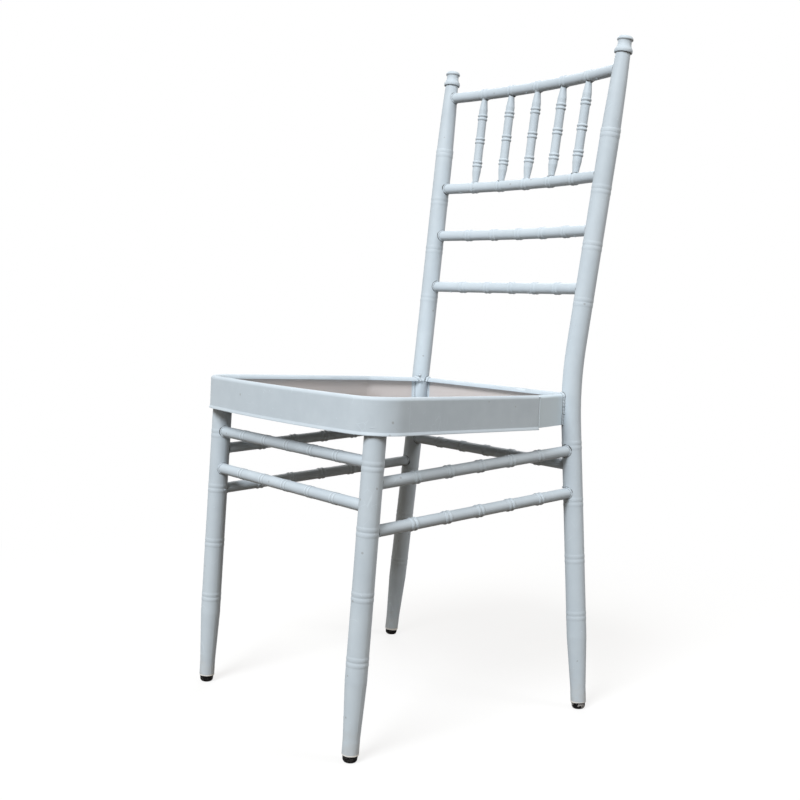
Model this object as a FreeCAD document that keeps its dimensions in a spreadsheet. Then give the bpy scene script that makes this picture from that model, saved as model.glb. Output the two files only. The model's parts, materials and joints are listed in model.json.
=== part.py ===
import FreeCAD, Part
import math
import os
import re

import Sketcher
from FreeCAD import Placement, Rotation, Vector

# Stacking chair of welded steel tube with bamboo rings, a ladder back with five spindles,
# and an open seat ring for a loose cushion.
# Frame: +Z up, +X to the sitter's left, the front of the seat towards -Y.
# The origin is on the floor, under the middle of the chair. Millimetres and degrees.

# Driving dimensions: name, value, meaning
SIZES = (
    ("overall_height", 921, "floor to the top of the finials"),
    ("overall_depth", 475.5, "front of the seat band to the back of the top rail"),
    ("tube_dia", 27, "legs and back posts"),
    ("tube_wall", 1.2, "wall of every tube"),
    ("tip_dia", 21, "swaged end of a leg"),
    ("tip_long", 20, "straight end of a leg, above its cap"),
    ("swage_long", 70, "taper from the straight end to the full tube"),
    ("crown_dia", 20.2, "post where it meets its finial"),
    ("crown_turn_dia", 23.5, "post where its taper steepens"),
    ("crown_turn", 43, "that place below the end of the tube"),
    ("crown_swage", 122.6, "taper at the top of a post"),
    ("ring_pitch", 78, "between bamboo rings on legs and posts"),
    ("ring_long", 13, "one bamboo ring, a pair of beads"),
    ("ring_rise", 0.35, "how far a ring stands proud of the tube"),
    ("ring_gap", 0.8, "groove between the two beads of a ring"),
    ("ring_root", 0.3, "depth of a ring's root inside the tube's wall, below the ends of its beads"),
    ("front_ring_first", 114, "first ring on a front leg, from the end of the tube"),
    ("back_ring_first", 119, "first ring on a back leg, from the end of the tube"),
    ("top_ring_first", 110.6, "first ring below the finial, from the end of the tube"),
    ("leg_rings", 4, "rings on one leg, and on the upper part of a post"),
    ("front_splay", 0.63, "front leg leans outward going up"),
    ("front_rake", 3.16, "front leg leans back going up"),
    ("leg_gap", 0.8, "front leg clear of the band's corner"),
    ("leg_bearing", 40, "direction of that leg from the corner's centre, from straight out to the side"),
    ("knee_inset", 41.1, "bend of a post inside the widest part of the seat"),
    ("knee_rise", 3, "bend of a post above the front of the seat"),
    ("knee_bend_rad", 600, "radius of the post's bend"),
    ("back_foot_out", 48.2, "back foot outside the post's bend"),
    ("back_foot_lead", 8, "back foot ahead of the post's bend"),
    ("top_out", 17.5, "top of a post outside its bend"),
    ("back_rake", 7.38, "upper post leans back"),
    ("finial_high", 23.4, "finial above the end of the post"),
    ("finial_bead_dia", 24.6, "lower edge of a finial's bead"),
    ("finial_bead_high", 6.4, "that bead"),
    ("finial_bead_swell", 0.85, "how far its face swells"),
    ("finial_skirt_dia", 22.4, "foot of the neck, on top of the bead"),
    ("finial_neck_dia", 19.4, "neck under the knob"),
    ("finial_neck_hollow", 0.9, "how far the neck's face hollows"),
    ("finial_knob_dia", 22, "knob of a finial"),
    ("finial_knob_high", 7.4, "knob, from its underside to its top"),
    ("finial_knob_cut", 1.4, "chamfer under the knob"),
    ("finial_knob_edge", 2, "edge of the knob between chamfer and shoulder"),
    ("finial_knob_swell", 0.25, "how far that edge swells"),
    ("finial_shoulder_swell", 0.9, "how far the knob's shoulder swells"),
    ("finial_crown_dia", 13, "flat crown on top of the knob"),
    ("finial_crown_high", 0.6, "height of that crown"),
    ("spigot_long", 12, "spigot of a finial or a foot cap inside its tube"),
    ("spigot_gap", 0.05, "clearance around a spigot"),
    ("cap_high", 9, "foot cap below the end of the leg"),
    ("cap_dia", 18.6, "foot cap"),
    ("cap_round", 4.5, "rounded lower edge of a foot cap"),
    ("rail_dia", 16, "back rails"),
    ("stretcher_dia", 15, "stretchers between the legs"),
    ("small_ring_long", 12.4, "ring on a rail or stretcher, a pair of beads"),
    ("small_ring_rise", 1.1, "how far it stands proud"),
    ("small_ring_gap", 0.6, "between the ends of its two beads, inside the tube's wall"),
    ("small_ring_sink", 0.4, "ends of those beads below the tube's face"),
    ("front_ring_rise", 0.4, "how far the shallower rings of the front stretchers stand proud"),
    ("rail_bow", 21.2, "back rails bow to the rear in the middle"),
    ("rail_rings", 5, "rings on a rail or stretcher, and spindles in the back"),
    ("rail_1_drop", 43.5, "top rail below the finials' top"),
    ("rail_2_drop", 189.5, "rail under the spindles"),
    ("rail_3_drop", 264.5, "third rail"),
    ("rail_4_drop", 345.5, "lowest rail"),
    ("spindle_dia", 13.2, "spindle at its fullest"),
    ("spindle_end_dia", 8.6, "spindle where it meets a rail"),
    ("spindle_taper", 17, "length of the taper at each end of a spindle"),
    ("spindle_ring_long", 10.4, "ring on a spindle"),
    ("spindle_ring_rise", 1.1, "how far it stands proud"),
    ("front_upper_drop", 80.5, "upper front stretcher below the seat's rim"),
    ("front_lower_drop", 133, "lower front stretcher"),
    ("side_upper_drop", 106, "upper side stretcher, at the front leg"),
    ("side_lower_drop", 163.5, "lower side stretcher, at the front leg"),
    ("side_rise", 19, "rise of a side stretcher from front to back"),
    ("back_drop", 108, "stretcher between the back legs"),
    ("seat_height", 440, "rim of the seat band at the front"),
    ("seat_tilt", 1.4, "seat falls to the rear"),
    ("seat_width", 402, "seat band across its front corners"),
    ("seat_bow", 8.5, "front of the band bows forward in the middle"),
    ("seat_corner_rad", 47, "front corners of the band"),
    ("seat_taper", 3.2, "sides of the band close in to the rear"),
    ("seat_seam", 10, "straight part of the front band past its corner, up to the seam"),
    ("seat_bend_lead", 88, "bend of the side band ahead of the post's axis"),
    ("seat_bend_rad", 14, "outer radius of that bend"),
    ("side_end_in", 5.6, "side band runs towards a point inside the post's axis"),
    ("rear_band_past", 9.4, "ends of the rear band behind the post's axis"),
    ("rear_band_bow", 4, "rear band bows to the rear in the middle"),
    ("rear_band_short", 4, "rear band ends inside the post's near wall, short of its axis"),
    ("band_high", 45.5, "height of the seat band"),
    ("band_thick", 1.5, "sheet of the seat band"),
    ("curl_rad", 4.5, "rolled rim of the seat band"),
    ("curl_lip", 1.5, "straight lip below the rolled rim"),
    ("hem_out", 1.2, "flare of the band's lower edge"),
    ("hem_high", 4, "height of that flare"),
    ("tail_short", 2.5, "plain edge behind the bend above the flared edge before it"),
    ("panel_drop", 32, "seat panel below the rim"),
    ("panel_thick", 2, "sheet of the seat panel"),
    ("panel_gap", 1, "seat panel clear of the rolled rim, seen from above"),
    ("panel_post_gap", 3, "seat panel clear of the posts"),
    ("rib_long", 210, "pressed ribs of the seat panel"),
    ("rib_wide", 16, "one pressed rib"),
    ("rib_high", 2, "one pressed rib above the panel"),
    ("rib_pitch", 62, "between pressed ribs"),
    ("plate_thick", 2.5, "corner plates under the seat panel"),
    ("front_plate_reach", 52, "front corner plate past the band's corner"),
    ("rear_plate_reach", 70, "rear corner plate along the bands, from the post's axis"),
    ("screw_dia", 5, "screws that hold the seat panel on the corner plates"),
    ("screw_head_dia", 8.4, "their countersunk heads"),
    ("screw_sink", 0.2, "heads below the face of the seat panel"),
    ("socket_dia", 3.4, "hexagonal socket in the head, across its corners"),
    ("socket_deep", 1.6, "that socket"),
    ("screw_tip", 4, "end of a screw below its corner plate"),
    ("screw_gap", 0.25, "clearance of a screw in the panel"),
    ("screw_reach", 30, "screw from the axis of its leg or post, along the seat and across it"),
)

doc = FreeCAD.newDocument("Chair")
sheet = doc.addObject("Spreadsheet::Sheet", "dims")
NAMES = set()


def put(name, value, meaning):
    """one named value on the next row of the sheet"""
    row = len(NAMES) + 1
    sheet.set("A%d" % row, meaning)
    sheet.set("B%d" % row, str(value))
    sheet.setAlias("B%d" % row, name)
    sheet.recompute()
    NAMES.add(name)


for size_name, size_value, size_meaning in SIZES:
    put(size_name, size_value, size_meaning)
doc.recompute()


def size(name):
    """a value of the sheet as a plain number"""
    return float(sheet.get(name))


def bound(expression):
    """the same expression with each sheet name written as FreeCAD reads it"""
    def full(found):
        word = found.group()
        return "dims." + word if word in NAMES else word
    return re.sub(r"[a-z_][a-z_0-9]*", full, expression)


def worth(term):
    """the number that a term stands for now: a plain number or an expression of the sheet's names"""
    return float(sheet.evalExpression(bound(term))) if isinstance(term, str) else float(term)


# Bodies, sketches and features

def new_body(label):
    body = doc.addObject("PartDesign::Body", label)
    body.Label = label
    return body


def new_sketch(body, role, shift=None):
    """a sketch on one of the body's own planes; shift moves and turns it within that plane"""
    sketch = body.newObject("Sketcher::SketchObject", body.Name + "_sketch")
    plane = [f for f in body.Origin.OriginFeatures if f.Role == role][0]
    sketch.AttachmentSupport = [(plane, "")]
    sketch.MapMode = "FlatFace"
    if shift is not None:
        sketch.AttachmentOffset = shift
    return sketch


def tie(sketch, kind, geometry, point, term):
    """sets one coordinate of a point; a term that names a value of the sheet stays bound to it"""
    index = sketch.addConstraint(Sketcher.Constraint(kind, -1, 1, geometry, point, worth(term)))
    if isinstance(term, str):
        sketch.setExpression("Constraints[%d]" % index, bound(term))


def arc_radius(start, end):
    """radius term of the arc that leaves a corner: given, or worked out from how far it swells"""
    if len(start) == 4:
        return start[2]
    parts = (end[0], start[0], end[1], start[1], start[2], start[2])
    term = "(((%s) - (%s)) ^ 2 + ((%s) - (%s)) ^ 2) / (8 * abs(%s)) + abs(%s) / 2" % parts
    return term if any(isinstance(p, str) for p in parts) else worth(term)


def draw(sketch, corners):
    """closed outline through corners (x, y); a third value turns the edge that leaves a corner into
    an arc that swells by that much, to the left of its way, or to the right if negative; a third
    and fourth value give its radius and side instead, 1 for left and -1 for right"""
    edges = []
    for i, corner in enumerate(corners):
        after = corners[(i + 1) % len(corners)]
        start, end = (Vector(worth(c[0]), worth(c[1]), 0) for c in (corner, after))
        if len(corner) == 2:
            index = sketch.addGeometry(Part.LineSegment(start, end), False)
            edges.append((index, 1, 2, None))
            continue
        way = end - start
        left = Vector(-way.y, way.x, 0).normalize()
        term = arc_radius(corner, after)
        radius = max(worth(term), way.Length / 2)
        side = corner[3] if len(corner) == 4 else math.copysign(1, worth(corner[2]))
        sag = radius - math.sqrt(radius ** 2 - way.Length ** 2 / 4)
        index = sketch.addGeometry(Part.Arc(start, (start + end) * 0.5 + left * (side * sag), end), False)
        first, last = sketch.getPoint(index, 1), sketch.getPoint(index, 2)
        forward = first.distanceToPoint(start) < last.distanceToPoint(start)
        half_turn = radius < way.Length / 2 * 1.001
        edges.append((index, 1 if forward else 2, 2 if forward else 1, None if half_turn else term))
    for i, (index, first, last, term) in enumerate(edges):
        tie(sketch, "DistanceX", index, first, corners[i][0])
        tie(sketch, "DistanceY", index, first, corners[i][1])
        after = edges[(i + 1) % len(edges)]
        sketch.addConstraint(Sketcher.Constraint("Coincident", index, last, after[0], after[1]))
        if term is not None:
            radius_at = sketch.addConstraint(Sketcher.Constraint("Radius", index, worth(term)))
            if isinstance(term, str):
                sketch.setExpression("Constraints[%d]" % radius_at, bound(term))


def circle(sketch, x, y, radius):
    centre = Vector(worth(x), worth(y), 0)
    index = sketch.addGeometry(Part.Circle(centre, Vector(0, 0, 1), worth(radius)), False)
    tie(sketch, "DistanceX", index, 3, x)
    tie(sketch, "DistanceY", index, 3, y)
    radius_at = sketch.addConstraint(Sketcher.Constraint("Radius", index, worth(radius)))
    if isinstance(radius, str):
        sketch.setExpression("Constraints[%d]" % radius_at, bound(radius))


def revolve(body, sketch, angle=360.0, both_ways=False):
    """turns a sketch about its own vertical axis"""
    turn = body.newObject("PartDesign::Revolution", body.Name + "_turn")
    turn.Profile = sketch
    turn.ReferenceAxis = (sketch, ["V_Axis"])
    turn.Angle = angle
    turn.Midplane = both_ways
    sketch.Visibility = False
    return turn


def pad(body, sketch, length, down=False):
    lift = body.newObject("PartDesign::Pad", body.Name + "_pad")
    lift.Profile = sketch
    lift.Length = worth(length)
    if isinstance(length, str):
        lift.setExpression("Length", bound(length))
    lift.Reversed = down
    return lift


def repeat_along(body, feature, sketch, length, count):
    row = body.newObject("PartDesign::LinearPattern", body.Name + "_row")
    row.Originals = [feature]
    row.Direction = (sketch, ["V_Axis"])
    row.Length = worth(length)
    if isinstance(length, str):
        row.setExpression("Length", bound(length))
    row.Occurrences = int(count)
    body.Tip = row


def ring_outline(sketch, radius, at, long, rise, gap, sink="0"):
    """profile of one bamboo ring: two beads side by side on a tube of this radius; with a sink
    they spring from below the tube's face"""
    spring = "%s - %s" % (radius, sink)
    root = "%s - ring_root" % spring
    swell = "-(%s + %s)" % (rise, sink)
    draw(sketch, (
        (root, "%s - %s / 2" % (at, long)),
        (spring, "%s - %s / 2" % (at, long), swell),
        (spring, "%s - %s / 2" % (at, gap)),
        (spring, "%s + %s / 2" % (at, gap), swell),
        (spring, "%s + %s / 2" % (at, long)),
        (root, "%s + %s / 2" % (at, long)),
    ))


def small_ring(sketch, radius, at, long="small_ring_long", rise="small_ring_rise"):
    """a ring of a rail, a stretcher or a spindle"""
    ring_outline(sketch, radius, at, long, rise, "small_ring_gap", "small_ring_sink")


def cut(label, base, *tools):
    """base without its tools, taken away one after another"""
    for number, tool in enumerate(tools):
        result = doc.addObject("Part::Cut", label if tool is tools[-1] else "%s_cut_%d" % (label, number))
        result.Base = base
        result.Tool = tool
        base = result
    result.Label = label
    return result


# Places of legs and posts, worked out from the sheet

SIDES = (("left", 1), ("right", -1))
TILT = math.radians(size("seat_tilt"))
FRONT_Y = -size("overall_depth") / 2 + size("hem_out") + size("band_high") * math.sin(TILT)
LEAN = math.tan(math.radians(size("back_rake")))
RAIL_BACK = size("rail_bow") + size("rail_dia") / 2 + size("small_ring_rise")
TOP_Y = size("overall_depth") / 2 - RAIL_BACK + size("rail_1_drop") * LEAN
KNEE_Z = size("seat_height") + size("knee_rise")
KNEE_Y = TOP_Y - (size("overall_height") - KNEE_Z) * LEAN
KNEE = Vector(size("seat_width") / 2 - size("knee_inset"), KNEE_Y, KNEE_Z)
BACK_FOOT = Vector(KNEE.x + size("back_foot_out"), KNEE.y - size("back_foot_lead"), 0)
TOP = Vector(KNEE.x + size("top_out"), TOP_Y, size("overall_height"))

# The seat's own frame has its origin at the front of the rim and falls to the rear
SEAT = Placement(Vector(0, FRONT_Y, size("seat_height")), Rotation(Vector(1, 0, 0), -size("seat_tilt")))
PLATE_TOP = -size("panel_drop") - size("panel_thick")
PLATE_UNDER = PLATE_TOP - size("plate_thick")

# Plan of the band's outer face in that frame: a bowed front, a corner, a side that closes in,
# a bend, a run to the post, and an arc between the posts
HALF = size("seat_width") / 2
CORNER_RAD = size("seat_corner_rad")
FRONT_ARC = ((HALF - CORNER_RAD) ** 2 + size("seat_bow") ** 2) / (2 * size("seat_bow"))
TAPER = math.radians(size("seat_taper"))
SIDE_WAY = Vector(-math.sin(TAPER), math.cos(TAPER), 0)
SIDE_OUT = Vector(math.cos(TAPER), math.sin(TAPER), 0)
SIDE_START = Vector(HALF, size("seat_bow") + CORNER_RAD, 0)


def corner_centre():
    """centre of the front corner: inside the side line and tangent to the front arc"""
    start = SIDE_START - SIDE_OUT * CORNER_RAD
    gap = start - Vector(0, FRONT_ARC, 0)
    b, c = gap.dot(SIDE_WAY), gap.dot(gap) - (FRONT_ARC - CORNER_RAD) ** 2
    return start + SIDE_WAY * (-b - math.sqrt(b ** 2 - c))


CORNER = corner_centre()
BEARING = math.radians(size("leg_bearing"))
LEG_OUT = CORNER_RAD - size("band_thick") - size("leg_gap") - size("tube_dia") / 2
LEG_SPOT = CORNER + Vector(math.cos(BEARING), -math.sin(BEARING), 0) * LEG_OUT
LEG_TOP = SEAT.multVec(LEG_SPOT + Vector(0, 0, -size("band_high")))


def mirrored(point, side):
    """the same point on the left, side 1, or on the right, side -1"""
    return Vector(side * point.x, point.y, point.z)


def front_axis(side, z):
    """point of a front leg's axis at a height"""
    down = LEG_TOP.z - z
    x = LEG_TOP.x - down * math.tan(math.radians(size("front_splay")))
    return Vector(side * x, LEG_TOP.y - down * math.tan(math.radians(size("front_rake"))), z)


def post_axis(side, z):
    """point of a post's axis at a height, with its bend as a sharp corner"""
    low, high = (BACK_FOOT, KNEE) if z < KNEE.z else (KNEE, TOP)
    return mirrored(low + (high - low) * ((z - low.z) / (high.z - low.z)), side)


KNEE_ANGLE = math.degrees((KNEE - BACK_FOOT).getAngle(TOP - KNEE))
KNEE_TANGENT = size("knee_bend_rad") * math.tan(math.radians(KNEE_ANGLE) / 2)
put("lower_long", (KNEE - BACK_FOOT).Length - KNEE_TANGENT - size("cap_high"), "straight lower post")
put("upper_long", (TOP - KNEE).Length - KNEE_TANGENT - size("finial_high"), "straight upper post")
put("knee_angle", KNEE_ANGLE, "bend of a post")


def along(start, direction, roll=None):
    """placement with its Z axis along a direction; roll is what its X axis turns towards"""
    up = Vector(direction).normalize()
    if roll is None:
        return Placement(start, Rotation(Vector(0, 0, 1), up))
    return Placement(start, Rotation(Vector(roll) - up * up.dot(Vector(roll)), Vector(), up, "ZXY"))


# Back posts: swaged leg, bend and tapered upper part in one tube

def post_outline(tube_cut):
    """lower half of a post from its end to the bend: the outside, or the bore when tube_cut is its wall"""
    full = "tube_dia / 2 - " + tube_cut
    tip = "tip_dia / 2 - " + tube_cut
    return (("0", "0"), (tip, "0"), (tip, "tip_long"), (full, "tip_long + swage_long"),
            (full, "lower_long"), ("0", "lower_long"))


def crown_outline(tube_cut):
    """upper half of a post from the bend to the finial"""
    full = "tube_dia / 2 - " + tube_cut
    turn = "crown_turn_dia / 2 - " + tube_cut
    crown = "crown_dia / 2 - " + tube_cut
    return (("0", "0"), (full, "0"), (full, "upper_long - crown_swage"), (turn, "upper_long - crown_turn"),
            (crown, "upper_long"), ("0", "upper_long"))


def post_body(label, side, tube_cut, with_rings):
    """one post as a solid of revolution, a bend and a second solid of revolution"""
    body = new_body(label)
    low = new_sketch(body, "XZ_Plane")
    draw(low, post_outline(tube_cut))
    revolve(body, low)
    rad = size("knee_bend_rad")
    angle = math.radians(KNEE_ANGLE)
    elbow = new_sketch(body, "XY_Plane", Placement(Vector(rad, 0, size("lower_long")), Rotation()))
    elbow.setExpression("AttachmentOffset.Base.x", bound("knee_bend_rad"))
    elbow.setExpression("AttachmentOffset.Base.z", bound("lower_long"))
    circle(elbow, "-knee_bend_rad", "0", "tube_dia / 2 - " + tube_cut)
    turn = revolve(body, elbow, KNEE_ANGLE)
    turn.setExpression("Angle", bound("knee_angle"))
    bend_end = Vector(rad * (1 - math.cos(angle)), size("lower_long") + rad * math.sin(angle), 0)
    tilt = Placement(bend_end, Rotation(Vector(0, 0, 1), -KNEE_ANGLE))
    high = new_sketch(body, "XZ_Plane", tilt)
    draw(high, crown_outline(tube_cut))
    revolve(body, high)
    if with_rings:
        low_ring = new_sketch(body, "XZ_Plane")
        ring_outline(low_ring, "tube_dia / 2", "back_ring_first", "ring_long", "ring_rise", "ring_gap")
        low_turn = revolve(body, low_ring)
        repeat_along(body, low_turn, low_ring, "ring_pitch * (leg_rings - 1)", size("leg_rings"))
        high_ring = new_sketch(body, "XZ_Plane", tilt)
        lowest = "upper_long - top_ring_first - ring_pitch * (leg_rings - 1)"
        ring_outline(high_ring, "tube_dia / 2", lowest, "ring_long", "ring_rise", "ring_gap")
        high_turn = revolve(body, high_ring)
        repeat_along(body, high_turn, high_ring, "ring_pitch * (leg_rings - 1)", size("leg_rings"))
    lower = mirrored(KNEE - BACK_FOOT, side)
    start = mirrored(BACK_FOOT, side) + Vector(lower).normalize() * size("cap_high")
    body.Placement = along(start, lower, mirrored(TOP - KNEE, side))
    return body


POSTS = {side: post_body("back_post_outside_" + word, side, "0", True) for word, side in SIDES}
for word, side in SIDES:
    cut("back_post_" + word, POSTS[side], post_body("back_post_bore_" + word, side, "tube_wall", False))


# Front legs: straight swaged tubes, cut off under the corner plates

def front_leg_body(label, side, tube_cut, with_rings):
    body = new_body(label)
    full = "tube_dia / 2 - " + tube_cut
    tip = "tip_dia / 2 - " + tube_cut
    profile = new_sketch(body, "XZ_Plane")
    draw(profile, (("0", "0"), (tip, "0"), (tip, "tip_long"), (full, "tip_long + swage_long"),
                   (full, "seat_height"), ("0", "seat_height")))
    revolve(body, profile)
    if with_rings:
        ring = new_sketch(body, "XZ_Plane")
        ring_outline(ring, "tube_dia / 2", "front_ring_first", "ring_long", "ring_rise", "ring_gap")
        repeat_along(body, revolve(body, ring), ring, "ring_pitch * (leg_rings - 1)", size("leg_rings"))
    direction = front_axis(side, 1) - front_axis(side, 0)
    start = front_axis(side, 0) + Vector(direction).normalize() * size("cap_high")
    body.Placement = along(start, direction)
    return body


def seat_block(label, low, high):
    """a block over the whole seat between two heights of the seat's own frame"""
    margin = 2 * size("tube_dia")
    block = doc.addObject("Part::Box", label)
    block.Length = size("seat_width") + 2 * margin
    block.Width = size("overall_depth") + 2 * margin
    block.Height = high - low
    block.Placement = SEAT.multiply(Placement(Vector(-block.Length.Value / 2, -margin, low), Rotation()))
    return block


LEGS = {side: front_leg_body("front_leg_outside_" + word, side, "0", True) for word, side in SIDES}
for word, side in SIDES:
    bore = front_leg_body("front_leg_bore_" + word, side, "tube_wall", False)
    tube = cut("front_leg_tube_" + word, LEGS[side], bore)
    cut("front_leg_" + word, tube, seat_block("front_leg_trim_" + word, PLATE_UNDER, size("band_high")))


# Foot caps: rounded plugs in the leg ends, worn flat on the floor

def foot_cap(label, place):
    body = new_body(label + "_whole")
    spigot = "tip_dia / 2 - tube_wall - spigot_gap"
    profile = new_sketch(body, "XZ_Plane")
    draw(profile, (("0", "-cap_high"), ("cap_dia / 2 - cap_round", "-cap_high", "cap_round", -1),
                   ("cap_dia / 2", "-cap_high + cap_round"), ("cap_dia / 2", "0"), (spigot, "0"),
                   (spigot, "spigot_long"), ("0", "spigot_long")))
    revolve(body, profile)
    body.Placement = place
    floor = doc.addObject("Part::Box", label + "_floor")
    reach = size("cap_dia")
    floor.Length = floor.Width = 2 * reach
    floor.Height = size("cap_dia")
    corner = Vector(place.Base.x - reach, place.Base.y - reach, -size("cap_dia"))
    floor.Placement = Placement(corner, Rotation())
    cut(label, body, floor)


for word, side in SIDES:
    foot_cap("foot_cap_front_" + word, LEGS[side].Placement)
    foot_cap("foot_cap_back_" + word, POSTS[side].Placement)


# Finials: turned caps on the posts

def finial(label, side):
    """bead, neck and domed knob, seated on the end of the post"""
    body = new_body(label)
    spigot = "crown_dia / 2 - tube_wall - spigot_gap"
    knob = "finial_high - finial_knob_high"
    profile = new_sketch(body, "XZ_Plane")
    draw(profile, (
        ("0", "-spigot_long"),
        (spigot, "-spigot_long"),
        (spigot, "0"),
        ("finial_bead_dia / 2", "0", "-finial_bead_swell"),
        ("finial_skirt_dia / 2", "finial_bead_high", "finial_neck_hollow"),
        ("finial_neck_dia / 2", knob),
        ("finial_knob_dia / 2", knob + " + finial_knob_cut", "-finial_knob_swell"),
        ("finial_knob_dia / 2", knob + " + finial_knob_cut + finial_knob_edge", "-finial_shoulder_swell"),
        ("finial_crown_dia / 2", "finial_high - finial_crown_high"),
        ("0", "finial_high"),
    ))
    revolve(body, profile)
    upper = mirrored(TOP - KNEE, side)
    body.Placement = along(mirrored(TOP, side) - Vector(upper).normalize() * size("finial_high"), upper)


for word, side in SIDES:
    finial("finial_" + word, side)


# Back rails: bowed tubes with rings, coped to the posts

RAIL_WORDS = ("top", "second", "third", "lowest")
RAIL_HEIGHTS = [size("overall_height") - size("rail_%d_drop" % (n + 1)) for n in range(len(RAIL_WORDS))]


def rail_shape(height):
    """half span between post axes, bow radius, and distance from ring to ring"""
    half = post_axis(1, height).x
    radius = (half ** 2 + size("rail_bow") ** 2) / (2 * size("rail_bow"))
    return half, radius, (2 * half - size("tube_dia")) / (size("rail_rings") + 1)


def rail_point(height, x):
    """point of a rail's axis at a distance from the middle plane"""
    _, radius, _ = rail_shape(height)
    y = post_axis(1, height).y + size("rail_bow") - radius + math.sqrt(radius ** 2 - x ** 2)
    return Vector(x, y, height)


def rail_body(label, height, hollow):
    half, radius, pitch = rail_shape(height)
    body = new_body(label)
    section = new_sketch(body, "XZ_Plane")
    circle(section, radius, "0", "rail_dia / 2")
    if hollow:
        circle(section, radius, "0", "rail_dia / 2 - tube_wall")
    revolve(body, section, 2 * math.degrees(math.asin(half / radius)), True)
    spread = math.degrees(math.asin(pitch / radius)) * (size("rail_rings") - 1) / 2
    first = Rotation(Vector(0, 0, 1), -spread)
    ring = new_sketch(body, "XY_Plane", Placement(first.multVec(Vector(radius, 0, 0)), first))
    small_ring(ring, "rail_dia / 2", "0")
    first_ring = revolve(body, ring)
    fan = body.newObject("PartDesign::PolarPattern", body.Name + "_fan")
    fan.Originals = [first_ring]
    fan.Axis = (section, ["V_Axis"])
    fan.Angle = 2 * spread
    fan.Occurrences = int(size("rail_rings"))
    body.Tip = fan
    centre = Vector(0, post_axis(1, height).y + size("rail_bow") - radius, height)
    body.Placement = Placement(centre, Rotation(Vector(0, 0, 1), 90))
    return body


RAILS = {}
for word, height in zip(RAIL_WORDS, RAIL_HEIGHTS):
    RAILS[word] = rail_body("back_rail_tube_" + word, height, True)
    cut("back_rail_" + word, RAILS[word], POSTS[1], POSTS[-1])


# Spindles between the two upper rails, one at each pair of rings

RAIL_CORES = [rail_body("back_rail_core_" + word, height, False) for word, height in
              zip(RAIL_WORDS[:2], RAIL_HEIGHTS[:2])]


def spindle(label, step):
    high, low = (rail_point(height, step * rail_shape(height)[2]) for height in RAIL_HEIGHTS[:2])
    length = (high - low).Length
    edge = size("rail_dia") / 2
    body = new_body(label + "_whole")
    profile = new_sketch(body, "XZ_Plane")
    thin, full = "spindle_end_dia / 2", "spindle_dia / 2"
    taper = size("spindle_taper")
    draw(profile, (("0", 0), (thin, 0), (thin, edge), (full, edge + taper),
                   (full, length - edge - taper), (thin, length - edge), (thin, length), ("0", length)))
    revolve(body, profile)
    ring = new_sketch(body, "XZ_Plane")
    put(label + "_quarter", length / 4, "ring spacing of this spindle")
    small_ring(ring, full, label + "_quarter", "spindle_ring_long", "spindle_ring_rise")
    repeat_along(body, revolve(body, ring), ring, "2 * %s_quarter" % label, 3)
    body.Placement = along(low, high - low)
    cut(label, body, *RAIL_CORES)


SPINDLES = int(size("rail_rings"))
for number in range(SPINDLES):
    spindle("spindle_%d" % (number + 1), number - (SPINDLES - 1) / 2)


# Stretchers: straight tubes with rings, coped to the legs

def stretcher(label, start, end, rise, *coped_to):
    body = new_body(label + "_tube")
    length = (end - start).Length
    clear = length - size("tube_dia")
    count = size("rail_rings")
    put(label + "_long", length, "between leg axes")
    put(label + "_first", size("tube_dia") / 2 + clear / (count + 1), "first ring")
    profile = new_sketch(body, "XZ_Plane")
    outer, inner = "stretcher_dia / 2", "stretcher_dia / 2 - tube_wall"
    draw(profile, ((inner, "0"), (outer, "0"), (outer, label + "_long"), (inner, label + "_long")))
    revolve(body, profile)
    ring = new_sketch(body, "XZ_Plane")
    small_ring(ring, outer, label + "_first", rise=rise)
    repeat_along(body, revolve(body, ring), ring, "%s_long - 2 * %s_first" % (label, label), count)
    body.Placement = along(start, end - start)
    cut(label, body, *coped_to)


for word in ("upper", "lower"):
    height = size("seat_height") - size("front_%s_drop" % word)
    stretcher("front_stretcher_" + word, front_axis(-1, height), front_axis(1, height), "front_ring_rise",
              LEGS[1], LEGS[-1])
    height = size("seat_height") - size("side_%s_drop" % word)
    for side_word, side in SIDES:
        back_end = post_axis(side, height + size("side_rise"))
        stretcher("side_stretcher_%s_%s" % (word, side_word), front_axis(side, height), back_end,
                  "small_ring_rise", LEGS[side], POSTS[side])
height = size("seat_height") - size("back_drop")
stretcher("back_stretcher", post_axis(-1, height), post_axis(1, height), "small_ring_rise",
          POSTS[1], POSTS[-1])


# Seat band: one curled sheet profile that runs round the plan in four pieces

POST_SPOT = SEAT.inverse().multVec(post_axis(1, size("seat_height") - size("band_high") / 2))
POST_SPOT.z = 0
BEND_LINE = POST_SPOT.y - size("seat_bend_lead")
SIDE_END = POST_SPOT - Vector(size("side_end_in"), 0, 0)
REAR_ARC = (POST_SPOT.x ** 2 + size("rear_band_bow") ** 2) / (2 * size("rear_band_bow"))
REAR_MIDDLE = Vector(0, POST_SPOT.y + size("rear_band_past") + size("rear_band_bow"), 0)


def cross(point_a, way_a, point_b, way_b):
    """where two lines of the plan meet"""
    det = way_a.x * way_b.y - way_a.y * way_b.x
    gap = point_b - point_a
    return point_a + way_a * ((gap.x * way_b.y - gap.y * way_b.x) / det)


BEND = cross(SIDE_START, SIDE_WAY, Vector(0, BEND_LINE, 0), Vector(1, 0, 0))
TAIL_WAY = Vector(SIDE_END - BEND).normalize()
TAIL_OUT = Vector(TAIL_WAY.y, -TAIL_WAY.x, 0)


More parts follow.
